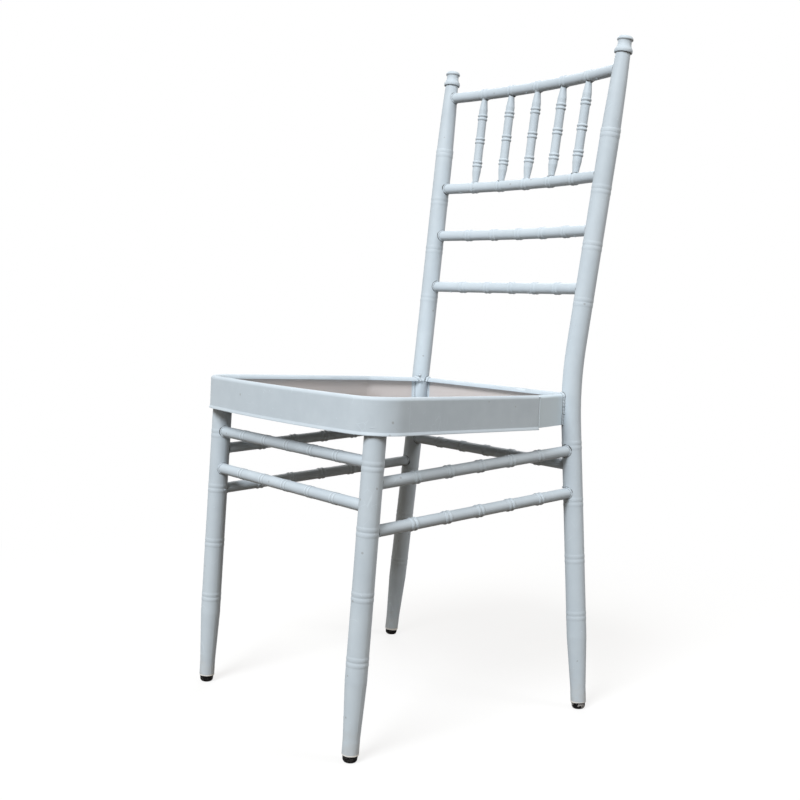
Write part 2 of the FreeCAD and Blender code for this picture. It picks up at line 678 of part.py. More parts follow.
def plan(inset):
    """corners of the plan at a distance inside the band's outer face: front tangent, side tangent, bend"""
    front_way = Vector(CORNER.x, CORNER.y - FRONT_ARC, 0).normalize()
    front = CORNER + front_way * (CORNER_RAD - inset)
    side = CORNER + SIDE_OUT * (CORNER_RAD - inset)
    bend = cross(side, SIDE_WAY, SIDE_END - TAIL_OUT * inset, TAIL_WAY)
    return front, side, bend


def band_profile(sketch, flip, shift, hemmed=True):
    """section of the band with its outer face at shift; flip is 1 where that face looks along +x"""
    def across(text):
        return "%s + %d * (%s)" % (shift, flip, text)
    edge = (("hem_out", "-band_high"), ("hem_out", "-band_high + hem_high / 4"),
            ("0", "-band_high + hem_high"))
    if not hemmed:
        edge = (("0", "-band_high + tail_short"),)
    draw(sketch, (
        *((across(x), y) for x, y in edge),
        (across("0"), "-curl_rad", "curl_rad", -flip),
        (across("-2 * curl_rad"), "-curl_rad"),
        (across("-2 * curl_rad"), "-curl_rad - curl_lip"),
        (across("-2 * curl_rad + band_thick"), "-curl_rad - curl_lip"),
        (across("-2 * curl_rad + band_thick"), "-curl_rad", "curl_rad - band_thick", flip),
        (across("-band_thick"), "-curl_rad"),
        *((across(x + " - band_thick"), y) for x, y in reversed(edge)),
    ))


def band_sketch(body, spot, heading, flip, shift, hemmed=True):
    """a section of the band across the way it runs; heading is its angle from +Y"""
    turned = Rotation(Vector(0, 1, 0), heading)
    sketch = new_sketch(body, "XZ_Plane", Placement(Vector(spot.x, 0, -spot.y), turned))
    band_profile(sketch, flip, shift, hemmed)
    return sketch


def band_straight(body, spot, heading, side, length, hemmed=True):
    """a straight run of the band, starting with its outer face at spot"""
    lift = pad(body, band_sketch(body, spot, heading, side, "0", hemmed), length)
    lift.Reversed = True
    return lift


def band_turn(body, centre, heading, side, radius, angle):
    """a run of the band about a centre on the seat's inner side"""
    turn = revolve(body, band_sketch(body, centre, heading, side, "%d * %s" % (side, radius)), angle)
    turn.Reversed = side < 0
    return turn


def heading_of(way):
    return math.degrees(math.atan2(-way.x, way.y))


def front_band():
    """bowed front, two rounded corners, and straight ends to the seams"""
    body = new_body("seat_band_front")
    front, side, _ = plan(0)
    bow_angle = math.degrees(math.asin(front.x / FRONT_ARC))
    runs = [
        band_turn(body, Vector(0, FRONT_ARC, 0), -90, 1, str(FRONT_ARC), bow_angle),
        band_turn(body, CORNER, bow_angle - 90, 1, "seat_corner_rad", 90 - bow_angle + size("seat_taper")),
        band_straight(body, side, size("seat_taper"), 1, "seat_seam"),
    ]
    plane = [f for f in body.Origin.OriginFeatures if f.Role == "YZ_Plane"][0]
    twin = body.newObject("PartDesign::Mirrored", "seat_band_front_twin")
    twin.Originals = runs
    twin.MirrorPlane = (plane, [""])
    body.Tip = twin
    body.Placement = SEAT
    return side + SIDE_WAY * size("seat_seam")


SEAM = front_band()


def side_band(word, side):
    """straight from the seam to the bend, round it, and on to the post with a plain lower edge"""
    body = new_body("seat_band_side_whole_" + word)
    tail_heading = heading_of(TAIL_WAY)
    angle = tail_heading - size("seat_taper")
    reach = size("seat_bend_rad") * math.tan(math.radians(angle) / 2)
    start, end = BEND - SIDE_WAY * reach, BEND + TAIL_WAY * reach
    centre = start - SIDE_OUT * size("seat_bend_rad")

    heading = side * size("seat_taper")
    band_straight(body, mirrored(SEAM, side), heading, side, (start - SEAM).Length)
    band_turn(body, mirrored(centre, side), heading, side, "seat_bend_rad", angle)
    tail_long = (SIDE_END - end).Length
    band_straight(body, mirrored(end, side), side * tail_heading, side, tail_long, hemmed=False)
    body.Placement = SEAT
    cut("seat_band_side_" + word, body, POSTS[side])


for word, side in SIDES:
    side_band(word, side)


def rear_band():
    """one arc from post to post"""
    body = new_body("seat_band_rear_whole")
    section = new_sketch(body, "YZ_Plane")
    band_profile(section, 1, str(REAR_ARC))
    half_angle = math.degrees(math.asin((POST_SPOT.x - size("rear_band_short")) / REAR_ARC))
    revolve(body, section, 2 * half_angle, True)
    body.Placement = SEAT.multiply(Placement(Vector(0, REAR_MIDDLE.y - REAR_ARC, 0), Rotation()))
    cut("seat_band_rear", body, POSTS[1], POSTS[-1])


rear_band()


# Corner plates: they close the corners of the ring, carry the seat panel and hold the leg tops

FRONT_SCREW = LEG_SPOT + Vector(-size("screw_reach"), size("screw_reach"), 0)
REAR_SCREW = POST_SPOT + Vector(-size("screw_reach"), -size("screw_reach"), 0)
SCREWS = [mirrored(spot, side) for _, side in SIDES for spot in (FRONT_SCREW, REAR_SCREW)]


def rear_inner(x, inset):
    """point of the rear band's arc, at a distance inside its outer face"""
    return Vector(x, REAR_MIDDLE.y - REAR_ARC + math.sqrt((REAR_ARC - inset) ** 2 - x ** 2), 0)


def plate(label, corners, hole, *tools):
    """flat plate under the seat panel, with a screw's hole, cut out around the tools"""
    body = new_body(label + "_whole" if tools else label)
    sketch = new_sketch(body, "XY_Plane")
    draw(sketch, corners)
    circle(sketch, hole.x, hole.y, "screw_dia / 2")
    pad(body, sketch, "plate_thick")
    body.Placement = SEAT.multiply(Placement(Vector(0, 0, PLATE_UNDER), Rotation()))
    if tools:
        cut(label, body, *tools)


def front_plate(word, side):
    thick = size("band_thick")
    front, beside, _ = plan(thick)
    reach = size("front_plate_reach")
    start = Vector(front.x - reach, 0, 0)
    start.y = FRONT_ARC - math.sqrt((FRONT_ARC - thick) ** 2 - start.x ** 2)
    back = beside + SIDE_WAY * reach
    plate("corner_plate_front_" + word, (
        (side * start.x, start.y, FRONT_ARC - thick, -side),
        (side * front.x, front.y, CORNER_RAD - thick, -side),
        (side * beside.x, beside.y),
        (side * back.x, back.y),
        (side * (back.x - reach / 2), back.y),
        (side * start.x, start.y + reach / 2),
    ), mirrored(FRONT_SCREW, side))


def rear_plate(word, side):
    thick = size("band_thick")
    reach = size("rear_plate_reach")
    tail = SIDE_END - TAIL_OUT * thick
    out = tail - TAIL_WAY * reach
    rear, near_post = rear_inner(POST_SPOT.x - reach, thick), rear_inner(POST_SPOT.x, thick)
    plate("corner_plate_rear_" + word, (
        (side * out.x, out.y),
        (side * tail.x, tail.y),
        (side * near_post.x, near_post.y, REAR_ARC - thick, -side),
        (side * rear.x, rear.y),
        (side * rear.x, rear.y - reach / 3),
        (side * (out.x - reach / 3), out.y),
    ), mirrored(REAR_SCREW, side), POSTS[side])


for word, side in SIDES:
    front_plate(word, side)
    rear_plate(word, side)


# Seat panel: flat sheet that drops in past the rolled rim, with three pressed ribs and four
# countersunk screws that go through it into the corner plates

PANEL = SEAT.multiply(Placement(Vector(0, 0, -size("panel_drop")), Rotation()))

def panel_outline():
    """corners of the panel; its rear corners stay clear of the posts"""
    inset = 2 * size("curl_rad") + size("panel_gap")
    front, beside, bend = plan(inset)
    slant = Vector(-1, -1, 0).normalize()
    notch = POST_SPOT + slant * (size("tube_dia") / 2 + size("panel_post_gap"))
    across = Vector(-slant.y, slant.x, 0)
    tail = cross(notch, across, SIDE_END - TAIL_OUT * inset, TAIL_WAY)
    rear = cross(notch, across, rear_inner(POST_SPOT.x - size("tube_dia"), inset), Vector(1, 0, 0))
    half = [(front.x, front.y, CORNER_RAD - inset, -1), (beside.x, beside.y), (bend.x, bend.y),
            (tail.x, tail.y), (rear.x, rear.y, REAR_ARC - inset, -1)]
    return half + [(-rear.x, rear.y), (-tail.x, tail.y), (-bend.x, bend.y),
                   (-beside.x, beside.y, CORNER_RAD - inset, -1), (-front.x, front.y, FRONT_ARC - inset, -1)]


def screw_outline(sketch, gap):
    """half section of a countersunk screw, or of its hole in the panel when gap is its clearance"""
    shank, head = "screw_dia / 2 + " + gap, "screw_head_dia / 2 + " + gap
    top = "-screw_sink + %s" % gap
    end = "-panel_thick - plate_thick - screw_tip"
    neck = "%s - (%s - (%s))" % (top, head, shank)
    draw(sketch, (("0", end), (shank, end), (shank, neck), (head, top), ("0", top)))


def screw_body(label, spot, gap):
    body = new_body(label)
    profile = new_sketch(body, "XZ_Plane")
    screw_outline(profile, gap)
    revolve(body, profile)
    body.Placement = PANEL.multiply(Placement(spot, Rotation()))
    return body


def seat_panel():
    body = new_body("seat_panel_whole")
    outline = new_sketch(body, "XY_Plane")
    draw(outline, panel_outline())
    pad(body, outline, "panel_thick", down=True)
    middle = (plan(0)[0].y + REAR_MIDDLE.y) / 2
    ribs = new_sketch(body, "XY_Plane")
    for step in (-1, 0, 1):
        left, right = ("%d * rib_pitch %s rib_wide / 2" % (step, sign) for sign in "-+")
        low, high = ("%r %s (rib_long - rib_wide) / 2" % (middle, sign) for sign in "-+")
        draw(ribs, ((left, low, "rib_wide / 2", -1), (right, low),
                    (right, high, "rib_wide / 2", -1), (left, high)))
    pad(body, ribs, "rib_high")
    body.Placement = PANEL
    holes = [screw_body("screw_hole_%d" % n, spot, "screw_gap") for n, spot in enumerate(SCREWS)]
    cut("seat_panel", body, *holes)


seat_panel()


def seat_screws():
    """the four screws as one group, each with a hexagonal socket"""
    screws = []
    for number, spot in enumerate(SCREWS):
        whole = screw_body("screw_whole_%d" % number, spot, "0")
        socket = doc.addObject("Part::Prism", "screw_socket_%d" % number)
        socket.Polygon = 6
        socket.Circumradius = size("socket_dia") / 2
        socket.Height = size("socket_deep")
        foot = spot - Vector(0, 0, size("screw_sink") + size("socket_deep"))
        socket.Placement = PANEL.multiply(Placement(foot, Rotation()))
        screws.append(cut("screw_%d" % number, whole, socket))
    group = doc.addObject("Part::Compound", "seat_screws")
    group.Links = screws
    group.Label = "seat_screws"


seat_screws()


# Recompute, check and write

doc.recompute()
NODES = (
    ["front_leg_left", "front_leg_right", "back_post_left", "back_post_right", "finial_left", "finial_right"]
    + ["foot_cap_%s_%s" % (a, b) for a in ("front", "back") for b, _ in SIDES]
    + ["back_rail_" + w for w in RAIL_WORDS]
    + ["spindle_%d" % (n + 1) for n in range(SPINDLES)]
    + ["front_stretcher_upper", "front_stretcher_lower"]
    + ["side_stretcher_%s_%s" % (a, b) for a in ("upper", "lower") for b, _ in SIDES]
    + ["back_stretcher", "seat_band_front", "seat_band_side_left", "seat_band_side_right", "seat_band_rear"]
    + ["corner_plate_%s_%s" % (a, b) for a in ("front", "rear") for b, _ in SIDES]
    + ["seat_panel", "seat_screws"]
)

failed = [o.Label for o in doc.Objects if "Invalid" in o.State or "Error" in o.State]
if failed:
    raise RuntimeError("not built: " + ", ".join(failed))
shapes = {}
for node in NODES:
    found = [o for o in doc.Objects if o.Label == node]
    if not found:
        raise RuntimeError("no object labelled " + node)
    shape = found[0].Shape
    if shape.isNull() or not shape.isValid() or not shape.Solids:
        raise RuntimeError("bad shape: " + node)
    if len(shape.Solids) != (len(SCREWS) if node == "seat_screws" else 1):
        raise RuntimeError("%s has %d solids" % (node, len(shape.Solids)))
    shapes[node] = shape

os.makedirs("parts", exist_ok=True)
for node, shape in shapes.items():
    shape.exportStep("parts/%s.step" % node)
print("wrote", len(shapes), "nodes")
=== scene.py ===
"""Welded steel banquet chair with bamboo rings: finishes, welds, foot caps, vents and a studio."""

import json
import math
from types import SimpleNamespace

import bpy
from mathutils import Matrix, Vector, noise


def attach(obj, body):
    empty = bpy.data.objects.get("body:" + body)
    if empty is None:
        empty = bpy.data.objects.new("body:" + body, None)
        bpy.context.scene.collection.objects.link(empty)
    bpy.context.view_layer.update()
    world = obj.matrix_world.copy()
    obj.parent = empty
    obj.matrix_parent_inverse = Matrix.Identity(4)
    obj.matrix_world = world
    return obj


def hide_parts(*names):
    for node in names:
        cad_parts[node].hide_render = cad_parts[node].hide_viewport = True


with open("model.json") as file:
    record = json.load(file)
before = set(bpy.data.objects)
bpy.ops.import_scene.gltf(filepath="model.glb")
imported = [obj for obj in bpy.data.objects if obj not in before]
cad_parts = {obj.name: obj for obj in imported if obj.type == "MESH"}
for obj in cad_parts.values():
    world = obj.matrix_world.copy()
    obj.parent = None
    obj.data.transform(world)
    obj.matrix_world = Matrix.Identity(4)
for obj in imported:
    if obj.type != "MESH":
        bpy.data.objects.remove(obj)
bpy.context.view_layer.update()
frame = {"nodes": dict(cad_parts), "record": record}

bl_info = {
    "name": "Bamboo-Ring Banquet Chair",
    "version": (1, 1, 0),
    "blender": (4, 5, 0),
    "location": "View3D > Sidebar > Chair",
    "description": "Powder coat, weld beads, worn foot caps and a studio for a packed steel chair",
    "category": "Object",
}

MM = 0.001
NODES = frame["nodes"]

# Axes of the legs and posts on the sitter's left, on the floor, at the post's bend and at the top
LEG_FOOT, LEG_TOP = Vector((173.48, -222.56, 0)) * MM, Vector((177.81, -200.83, 393.64)) * MM
POST_FOOT, POST_BEND = Vector((208.10, 143.17, 0)) * MM, Vector((159.90, 151.17, 443.0)) * MM
POST_TOP = Vector((177.40, 213.08, 921.0)) * MM
TUBE_RADIUS = 13.5 * MM
RAIL_RADIUS = 8 * MM
STRETCHER_RADIUS = 7.5 * MM
SPINDLE_RADIUS = 4.3 * MM

# Heights of the rails' axes, and how far they bow to the rear
RAILS = {"top": 877.5 * MM, "second": 731.5 * MM, "third": 656.5 * MM, "lowest": 575.5 * MM}
RAIL_BOW = 21.2 * MM
SPINDLE_STEPS = 6.5

# Heights of the stretchers' axes at the front leg and at the back post
FRONT_STRETCHERS = {"upper": 359.5 * MM, "lower": 307.0 * MM}
SIDE_STRETCHERS = {"upper": (334.0 * MM, 353.0 * MM), "lower": (276.5 * MM, 295.5 * MM)}
BACK_STRETCHER = 332.0 * MM

# The seat's own frame: origin at the front of the rim, falling to the rear
SEAT_TILT = math.radians(1.4)
SEAT_FALL = math.tan(SEAT_TILT)
SEAT = Matrix.Translation((0, -235.44 * MM, 440 * MM)) @ Matrix.Rotation(-SEAT_TILT, 4, "X")

# The band's left half on that frame's plan: front corner, seam, bend, and the runs to the post
SEAT_CORNER, CORNER_RADIUS = Vector((153.91, 55.79)) * MM, 47 * MM
SEAT_SEAM = Vector((200.28, 68.40)) * MM
SEAT_BEND, TAIL_WAY = Vector((187.41, 298.59)) * MM, Vector((-0.3257, 0.9455))
REAR_START, REAR_WAY = Vector((120, 397.81)) * MM, Vector((0.9990, -0.0447))
SHEET = 1.5 * MM
PLATE_UNDER = -36.5 * MM

SIDES = {"left": 1, "right": -1}


# Settings

class ChairCoat(bpy.types.PropertyGroup):
    """Powder coat of the frame"""

    colour: bpy.props.FloatVectorProperty(
        name="Coat", description="Colour of the powder coat", subtype="COLOR", size=3,
        default=(0.548, 0.618, 0.676), min=0, max=1)
    roughness: bpy.props.FloatProperty(
        name="Roughness", description="Roughness of the clean coat", default=0.50, min=0, max=1)
    shine: bpy.props.FloatProperty(
        name="Shine", description="Strength of the coat's reflections", default=0.20, min=0, max=1)
    peel: bpy.props.FloatProperty(
        name="Orange peel", description="Depth of the coat's orange peel", default=0.000045,
        subtype="DISTANCE", unit="LENGTH")
    drift: bpy.props.FloatProperty(
        name="Tone", description="How far the coat's tone drifts from place to place",
        default=0.045, min=0, max=1)
    # Painted shade in grooves and in the corners where tubes meet
    crevice_shade: bpy.props.FloatProperty(
        name="Crevice shade", description="How dark the corners between tubes are", default=0.75,
        min=0, max=1)
    # Sets the scratches and chips, and also the painted highlight on crests
    wear_and_highlight: bpy.props.FloatProperty(
        name="Wear and highlight", description="How much scratches and chips show", default=0.5, min=0, max=1)
    # Sets the dust on the seat's panel and on the feet, and also the painted shade on undersides,
    # on the band's inner face and on the seat's recessed panel
    dust_and_shade: bpy.props.FloatProperty(
        name="Dust and shade", description="How much dust lies in the seat and on the feet", default=0.5,
        min=0, max=1)


class ChairWelds(bpy.types.PropertyGroup):
    """Beads of weld under the coat"""

    tube_bead: bpy.props.FloatProperty(
        name="Tube bead", description="Radius of the bead round a rail or a stretcher",
        default=0.00125, subtype="DISTANCE", unit="LENGTH")
    spindle_bead: bpy.props.FloatProperty(
        name="Spindle bead", description="Radius of the bead round a spindle's end",
        default=0.0008, subtype="DISTANCE", unit="LENGTH")
    band_bead: bpy.props.FloatProperty(
        name="Band bead", description="Radius of the bead between the seat band and a post",
        default=0.0024, subtype="DISTANCE", unit="LENGTH")
    stitch_bead: bpy.props.FloatProperty(
        name="Stitch bead", description="Radius of the short beads under the seat",
        default=0.0015, subtype="DISTANCE", unit="LENGTH")
    seam_bead: bpy.props.FloatProperty(
        name="Seam bead", description="Radius of the bead along an upright seam of the seat band",
        default=0.0007, subtype="DISTANCE", unit="LENGTH")
    ripple: bpy.props.FloatProperty(
        name="Ripple", description="How much a bead swells from step to step", default=0.12,
        min=0, max=1)


class ChairFeet(bpy.types.PropertyGroup):
    """Plastic foot caps"""

    colour: bpy.props.FloatVectorProperty(
        name="Cap", description="Colour of the caps", subtype="COLOR", size=3,
        default=(0.0050, 0.0046, 0.0046), min=0, max=1)
    scuff: bpy.props.FloatProperty(
        name="Scuffs", description="How much the caps are worn pale", default=0.5, min=0, max=1)


class ChairStudio(bpy.types.PropertyGroup):
    """Camera and light"""

    camera_place: bpy.props.FloatVectorProperty(
        name="Camera", description="Place of the camera", subtype="TRANSLATION", unit="LENGTH",
        size=3, default=(1.2147, -1.0061, 0.551))
    azimuth: bpy.props.FloatProperty(
        name="Azimuth", description="Turn of the camera about the chair", subtype="ANGLE",
        unit="ROTATION", default=math.radians(50.958))
    elevation: bpy.props.FloatProperty(
        name="Elevation", description="How far the camera looks down", subtype="ANGLE",
        unit="ROTATION", default=math.radians(5.034))
    roll: bpy.props.FloatProperty(
        name="Roll", description="Tilt of the camera's horizon", subtype="ANGLE",
        unit="ROTATION", default=math.radians(1.729))
    lens: bpy.props.FloatProperty(
        name="Lens", description="Focal length for a sensor 36 mm wide", default=50.54)
    sky: bpy.props.FloatProperty(
        name="Sky", description="Strength of the soft light from all round", default=0.40, min=0)
    key: bpy.props.FloatProperty(
        name="Key", description="Power of the large lamp at the front left", subtype="POWER",
        unit="POWER", default=590)
    fill: bpy.props.FloatProperty(
        name="Fill", description="Power of the lamp on the sitter's left", subtype="POWER",
        unit="POWER", default=87)
    back: bpy.props.FloatProperty(
        name="Back", description="Power of the lamp behind the chair", subtype="POWER",
        unit="POWER", default=30)
    floor: bpy.props.FloatVectorProperty(
        name="Floor", description="Colour that the floor throws back on the chair", subtype="COLOR",
        size=3, default=(0.070, 0.056, 0.042), min=0, max=1)


# Mesh helpers

def start_clean():
    """leaves edit mode and selects nothing"""
    if bpy.context.object and bpy.context.object.mode != "OBJECT":
        bpy.ops.object.mode_set(mode="OBJECT")
    bpy.ops.object.select_all(action="DESELECT")


def take(obj):
    """selects one object alone and makes it active"""
    start_clean()
    obj.select_set(True)
    bpy.context.view_layer.objects.active = obj


def apply(obj, kind, **values):
    """adds a modifier, sets it and applies it"""
    take(obj)
    modifier = obj.modifiers.new(kind.lower(), kind)
    for name, value in values.items():
        setattr(modifier, name, value)
    bpy.ops.object.modifier_apply(modifier=modifier.name)


def settle(obj, slot, finish=None):
    """puts a piece's place into its mesh, gives it its finish and lets it ride with the chair"""
    obj.data.transform(obj.matrix_world)
    obj.matrix_world = Matrix.Identity(4)
    obj.data.materials.clear()
    obj.data.materials.append(bpy.data.materials[finish or slot])
    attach(obj, "root")
    return obj


def turn_to(way):
    """rotation that takes +Z to a direction"""
    return way.to_track_quat("Z", "Y").to_euler()


def drawn(name, profile, scale=1, points=40):
    """a turned piece: a disc drawn out along Z through steps of (radius, height) in millimetres"""
    start_clean()
    profile = [(radius * scale * MM, height * scale * MM) for radius, height in profile]
    first_radius, first_height = profile[0]
    bpy.ops.mesh.primitive_circle_add(
        vertices=points, radius=first_radius, fill_type="NGON", location=(0, 0, first_height))
    obj = bpy.context.object
    obj.name = name
    bpy.ops.object.mode_set(mode="EDIT")
    bpy.ops.mesh.select_all(action="SELECT")
    for (before, low), (after, high) in zip(profile, profile[1:]):
        bpy.ops.mesh.extrude_region_move(TRANSFORM_OT_translate={"value": (0, 0, high - low)})
        share = after / before
        bpy.ops.transform.resize(value=(share, share, 1), center_override=(0, 0, high))
    bpy.ops.mesh.select_all(action="SELECT")
    bpy.ops.mesh.normals_make_consistent(inside=False)
    bpy.ops.object.mode_set(mode="OBJECT")
    return obj


# Places on the frame

def axis_point(low, high, height, side):
    """a point of a leg's or a post's axis; side is 1 on the sitter's left and -1 on the right"""
    point = low.lerp(high, (height - low.z) / (high.z - low.z))
    return Vector((side * point.x, point.y, height))


def leg_point(side, height):
    """a point of a front leg's axis"""
    return axis_point(LEG_FOOT, LEG_TOP, height, side)


def post_point(side, height):
    """a point of a back post's axis"""
    if height < POST_BEND.z:
        return axis_point(POST_FOOT, POST_BEND, height, side)
    return axis_point(POST_BEND, POST_TOP, height, side)


def rail_point(height, across):
    """a point of a rail's bowed axis"""
    end = post_point(1, height)
    radius = (end.x ** 2 + RAIL_BOW ** 2) / (2 * RAIL_BOW)
    back = end.y + RAIL_BOW - radius
    return Vector((across, back + math.sqrt(radius ** 2 - across ** 2), height))


def seat_point(spot, height, side=1):
    """a point of the seat's plan at a height from its rim"""
    return SEAT @ Vector((side * spot.x, spot.y, height))


# Welds

# A ring starts this far before its tube, and its bead runs this far outside the tube that ends
RING_POINTS = 44
RUN_UP = 30 * MM
FIT = 0.1 * MM

# Points from ripple to ripple of a bead, grain of its unevenness, and its least share of thickness
STEP = 4
SWELL_GRAIN = 160
THINNEST = 0.02

# Radius and unevenness of the near-black line of painted shade beside a ring, and its place as a
# share of the bead's radius
GAP_SHADE, GAP_SHADE_UNEVEN, GAP_SHADE_PLACE = 0.3 * MM, 2.6, 0.95

# Length of a rail over which its way into a post is taken
RAIL_END = 24 * MM


def lay_bead(line, thick, seed, uneven=0.3, finish="powder_coat"):
    """turns a line of edges or a path into a bead of weld with a ripple and uneven thickness"""
    ripple = bpy.context.scene.chair_welds.ripple
    take(line)
    if line.type != "CURVE":
        bpy.ops.object.convert(target="CURVE")
    curve = line.data
    curve.dimensions = "3D"
    curve.bevel_depth = thick
    curve.bevel_resolution = 2
    curve.use_fill_caps = True
    for spline in curve.splines:
        for number, point in enumerate(spline.points):
            swell = noise.noise(Vector(point.co.xyz) * SWELL_GRAIN + Vector((seed, 2 * seed, 0)))
            share = 1 + ripple * math.cos(math.tau * number / STEP) + uneven * swell
            point.radius = max(share, THINNEST)
    bpy.ops.object.convert(target="MESH")
    bpy.ops.object.shade_smooth()
    return settle(line, "powder_coat", finish)


def ring_on(name, start, end, radius, node):
    """a circle round a tube that comes from start, laid on the CAD node whose axis is at end"""
    way = (end - start).normalized()
    start_clean()
    bpy.ops.mesh.primitive_circle_add(
        vertices=RING_POINTS, radius=radius, location=end - way * RUN_UP, rotation=turn_to(way))
    ring = bpy.context.object
    ring.name = name
    apply(ring, "SHRINKWRAP", target=NODES[node], wrap_method="PROJECT", use_project_z=True,
          use_positive_direction=True, use_negative_direction=False)
    return ring


def weld_ring(name, start, end, radius, node, thick, seed):
    """a bead round the end of a tube, with a near-black line beside it that opens and closes and
    paints the shade of an open seam

    The seed only makes the bead's unevenness differ from the next one's."""
    radius += FIT
    lay_bead(ring_on(name, start, end, radius, node), thick, seed)
    # painted shade: a thin near-black bead stands in for the shadow of an open seam
    crease = ring_on(name.replace("weld", "crease"), start, end,
                     radius + GAP_SHADE_PLACE * thick, node)
    lay_bead(crease, GAP_SHADE, seed + 50, GAP_SHADE_UNEVEN, "tube_inside")


def weld_run(name, points, thick, seed):
    """an open bead through a few points"""
    start_clean()
    bpy.ops.curve.primitive_nurbs_path_add()
    path = bpy.context.object
    path.name = name
    spline = path.data.splines[0]
    spline.points.add(len(points) - len(spline.points))
    for point, place in zip(spline.points, points):
        point.co = (*place, 1)
    spline.order_u = 3
    spline.use_endpoint_u = True
    path.data.resolution_u = 2
    bpy.ops.object.mode_set(mode="EDIT")
    bpy.ops.curve.select_all(action="SELECT")
    bpy.ops.curve.subdivide(number_cuts=6)
    bpy.ops.object.mode_set(mode="OBJECT")
    return lay_bead(path, thick, seed)


class CHAIR_OT_rail_welds(bpy.types.Operator):
    """Weld the back rails to the posts"""

    bl_idname = "chair.rail_welds"
    bl_label = "Rail welds"

    def execute(self, context):
        thick = context.scene.chair_welds.tube_bead
        for word, height in RAILS.items():
            for side_word, side in SIDES.items():
                end = post_point(side, height)
                start = rail_point(height, side * (abs(end.x) - RAIL_END))
                weld_ring("weld_rail_%s_%s" % (word, side_word), start, end, RAIL_RADIUS,
                          "back_post_" + side_word, thick, height * 90 + side)
        return {"FINISHED"}


class CHAIR_OT_stretcher_welds(bpy.types.Operator):
    """Weld the stretchers to the legs and posts"""

    bl_idname = "chair.stretcher_welds"
    bl_label = "Stretcher welds"

    def execute(self, context):
        thick = context.scene.chair_welds.tube_bead
        for side_word, side in SIDES.items():
            leg, post = "front_leg_" + side_word, "back_post_" + side_word
            for word, height in FRONT_STRETCHERS.items():
                weld_ring("weld_front_%s_%s" % (word, side_word), leg_point(-side, height),
                          leg_point(side, height), STRETCHER_RADIUS, leg, thick,
                          3 + height * 70 + side)
            for word, (low, high) in SIDE_STRETCHERS.items():
                front, rear = leg_point(side, low), post_point(side, high)
                weld_ring("weld_side_%s_%s_front" % (word, side_word), rear, front,
                          STRETCHER_RADIUS, leg, thick, 5 + low * 70 + side)
                weld_ring("weld_side_%s_%s_rear" % (word, side_word), front, rear,
                          STRETCHER_RADIUS, post, thick, 7 + high * 70 + side)
            weld_ring("weld_back_" + side_word, post_point(-side, BACK_STRETCHER),
                      post_point(side, BACK_STRETCHER), STRETCHER_RADIUS, post, thick, 9 + side)
        return {"FINISHED"}


class CHAIR_OT_spindle_welds(bpy.types.Operator):
    """Weld the spindles between the upper two rails"""

    bl_idname = "chair.spindle_welds"
    bl_label = "Spindle welds"

    def execute(self, context):
        thick = context.scene.chair_welds.spindle_bead
        for number in range(-2, 3):
            ends = {}
            for word in ("top", "second"):
                half = post_point(1, RAILS[word]).x
                ends[word] = rail_point(RAILS[word], number * 2 * half / SPINDLE_STEPS)
            for word, other in (("top", "second"), ("second", "top")):
                weld_ring("weld_spindle_%d_%s" % (number + 3, word), ends[other], ends[word],
                          SPINDLE_RADIUS, "back_rail_" + word, thick, 11 + number)
        return {"FINISHED"}


# Welds of the seat, on its plan; a step of a section is (distance inside the outer face, height)

RIM_SECTION = ((0, -42.3), (0, -36), (0, -28), (0, -20), (0, -12), (0, -4.5), (1.3, -1.3),
               (4.5, 0), (7.7, -1.3), (9, -4.5), (8.8, -6.2))
WALL_SECTION = ((1.5, -9), (1.5, -15), (1.5, -21), (1.5, -27), (1.5, -33.6))
HEM_SECTION = ((1.5, -36.9), (1.5, -38.2), (1.5, -39.6), (1.5, -41), (1.5, -42.4))

# Heights along the two upright seams, and how far behind the bend the first one runs
BEND_SEAM = (-1.6, -4, -10, -18, -26, -34, -40, -42.6)
BEND_SEAM_LAG = 2.2 * MM
BUTT_SEAM = (-7, -12, -18, -24, -30.5)

# Stitches under the plates: degrees round the post and the front corner, millimetres along a band
POST_STITCH = (262, 154)
CORNER_STITCHES, CORNER_STITCH_HALF = (-84, -42, 0), 8
TAIL_STITCH = (30, 34, 38, 42, 46)
REAR_STITCH = (-6, -2, 2, 6, 10)

# A ring on a plate starts this far under the leg's end and is aimed this far above it
LEG_END = (-20 * MM, 12 * MM)


def sideways(way):
    """the direction on the plan to the right of a direction"""
    return Vector((way.y, -way.x))


def post_spot(height):
    """the left post's axis on the seat's plan"""
    return (SEAT.inverted() @ post_point(1, SEAT.translation.z + height)).to_2d()


def run_into_post(start, way, height):
    """where a line of the plan meets the left post"""
    gap = start - post_spot(height)
    along = gap.dot(way)
    return start - way * (along + math.sqrt(along ** 2 - gap.length_squared + TUBE_RADIUS ** 2))


def post_joint(name, start, way, out, section, side, thick, seed):
    """a bead where a wall of the seat that runs along way ends on a post"""
    places = []
    for inset, height in section:
        spot = run_into_post(start - out * inset * MM, way, height * MM)
        places.append(seat_point(spot, height * MM, side))
    return weld_run(name, places, thick, seed)


def upright(name, spot, heights, side, thick, seed):
    """a bead up a wall of the seat"""
    return weld_run(name, [seat_point(spot, height * MM, side) for height in heights], thick, seed)


def stitch(name, spots, side, thick, seed):
    """a short bead through spots of the plan, under the corner plates"""
    return weld_run(name, [seat_point(spot, PLATE_UNDER, side) for spot in spots], thick, seed)


def arc(centre, radius, start, end, steps=6):
    """spots on a circle of the plan, between two angles in degrees"""
    turns = [math.radians(start + (end - start) * n / steps) for n in range(steps + 1)]
    return [centre + Vector((math.cos(turn), math.sin(turn))) * radius for turn in turns]


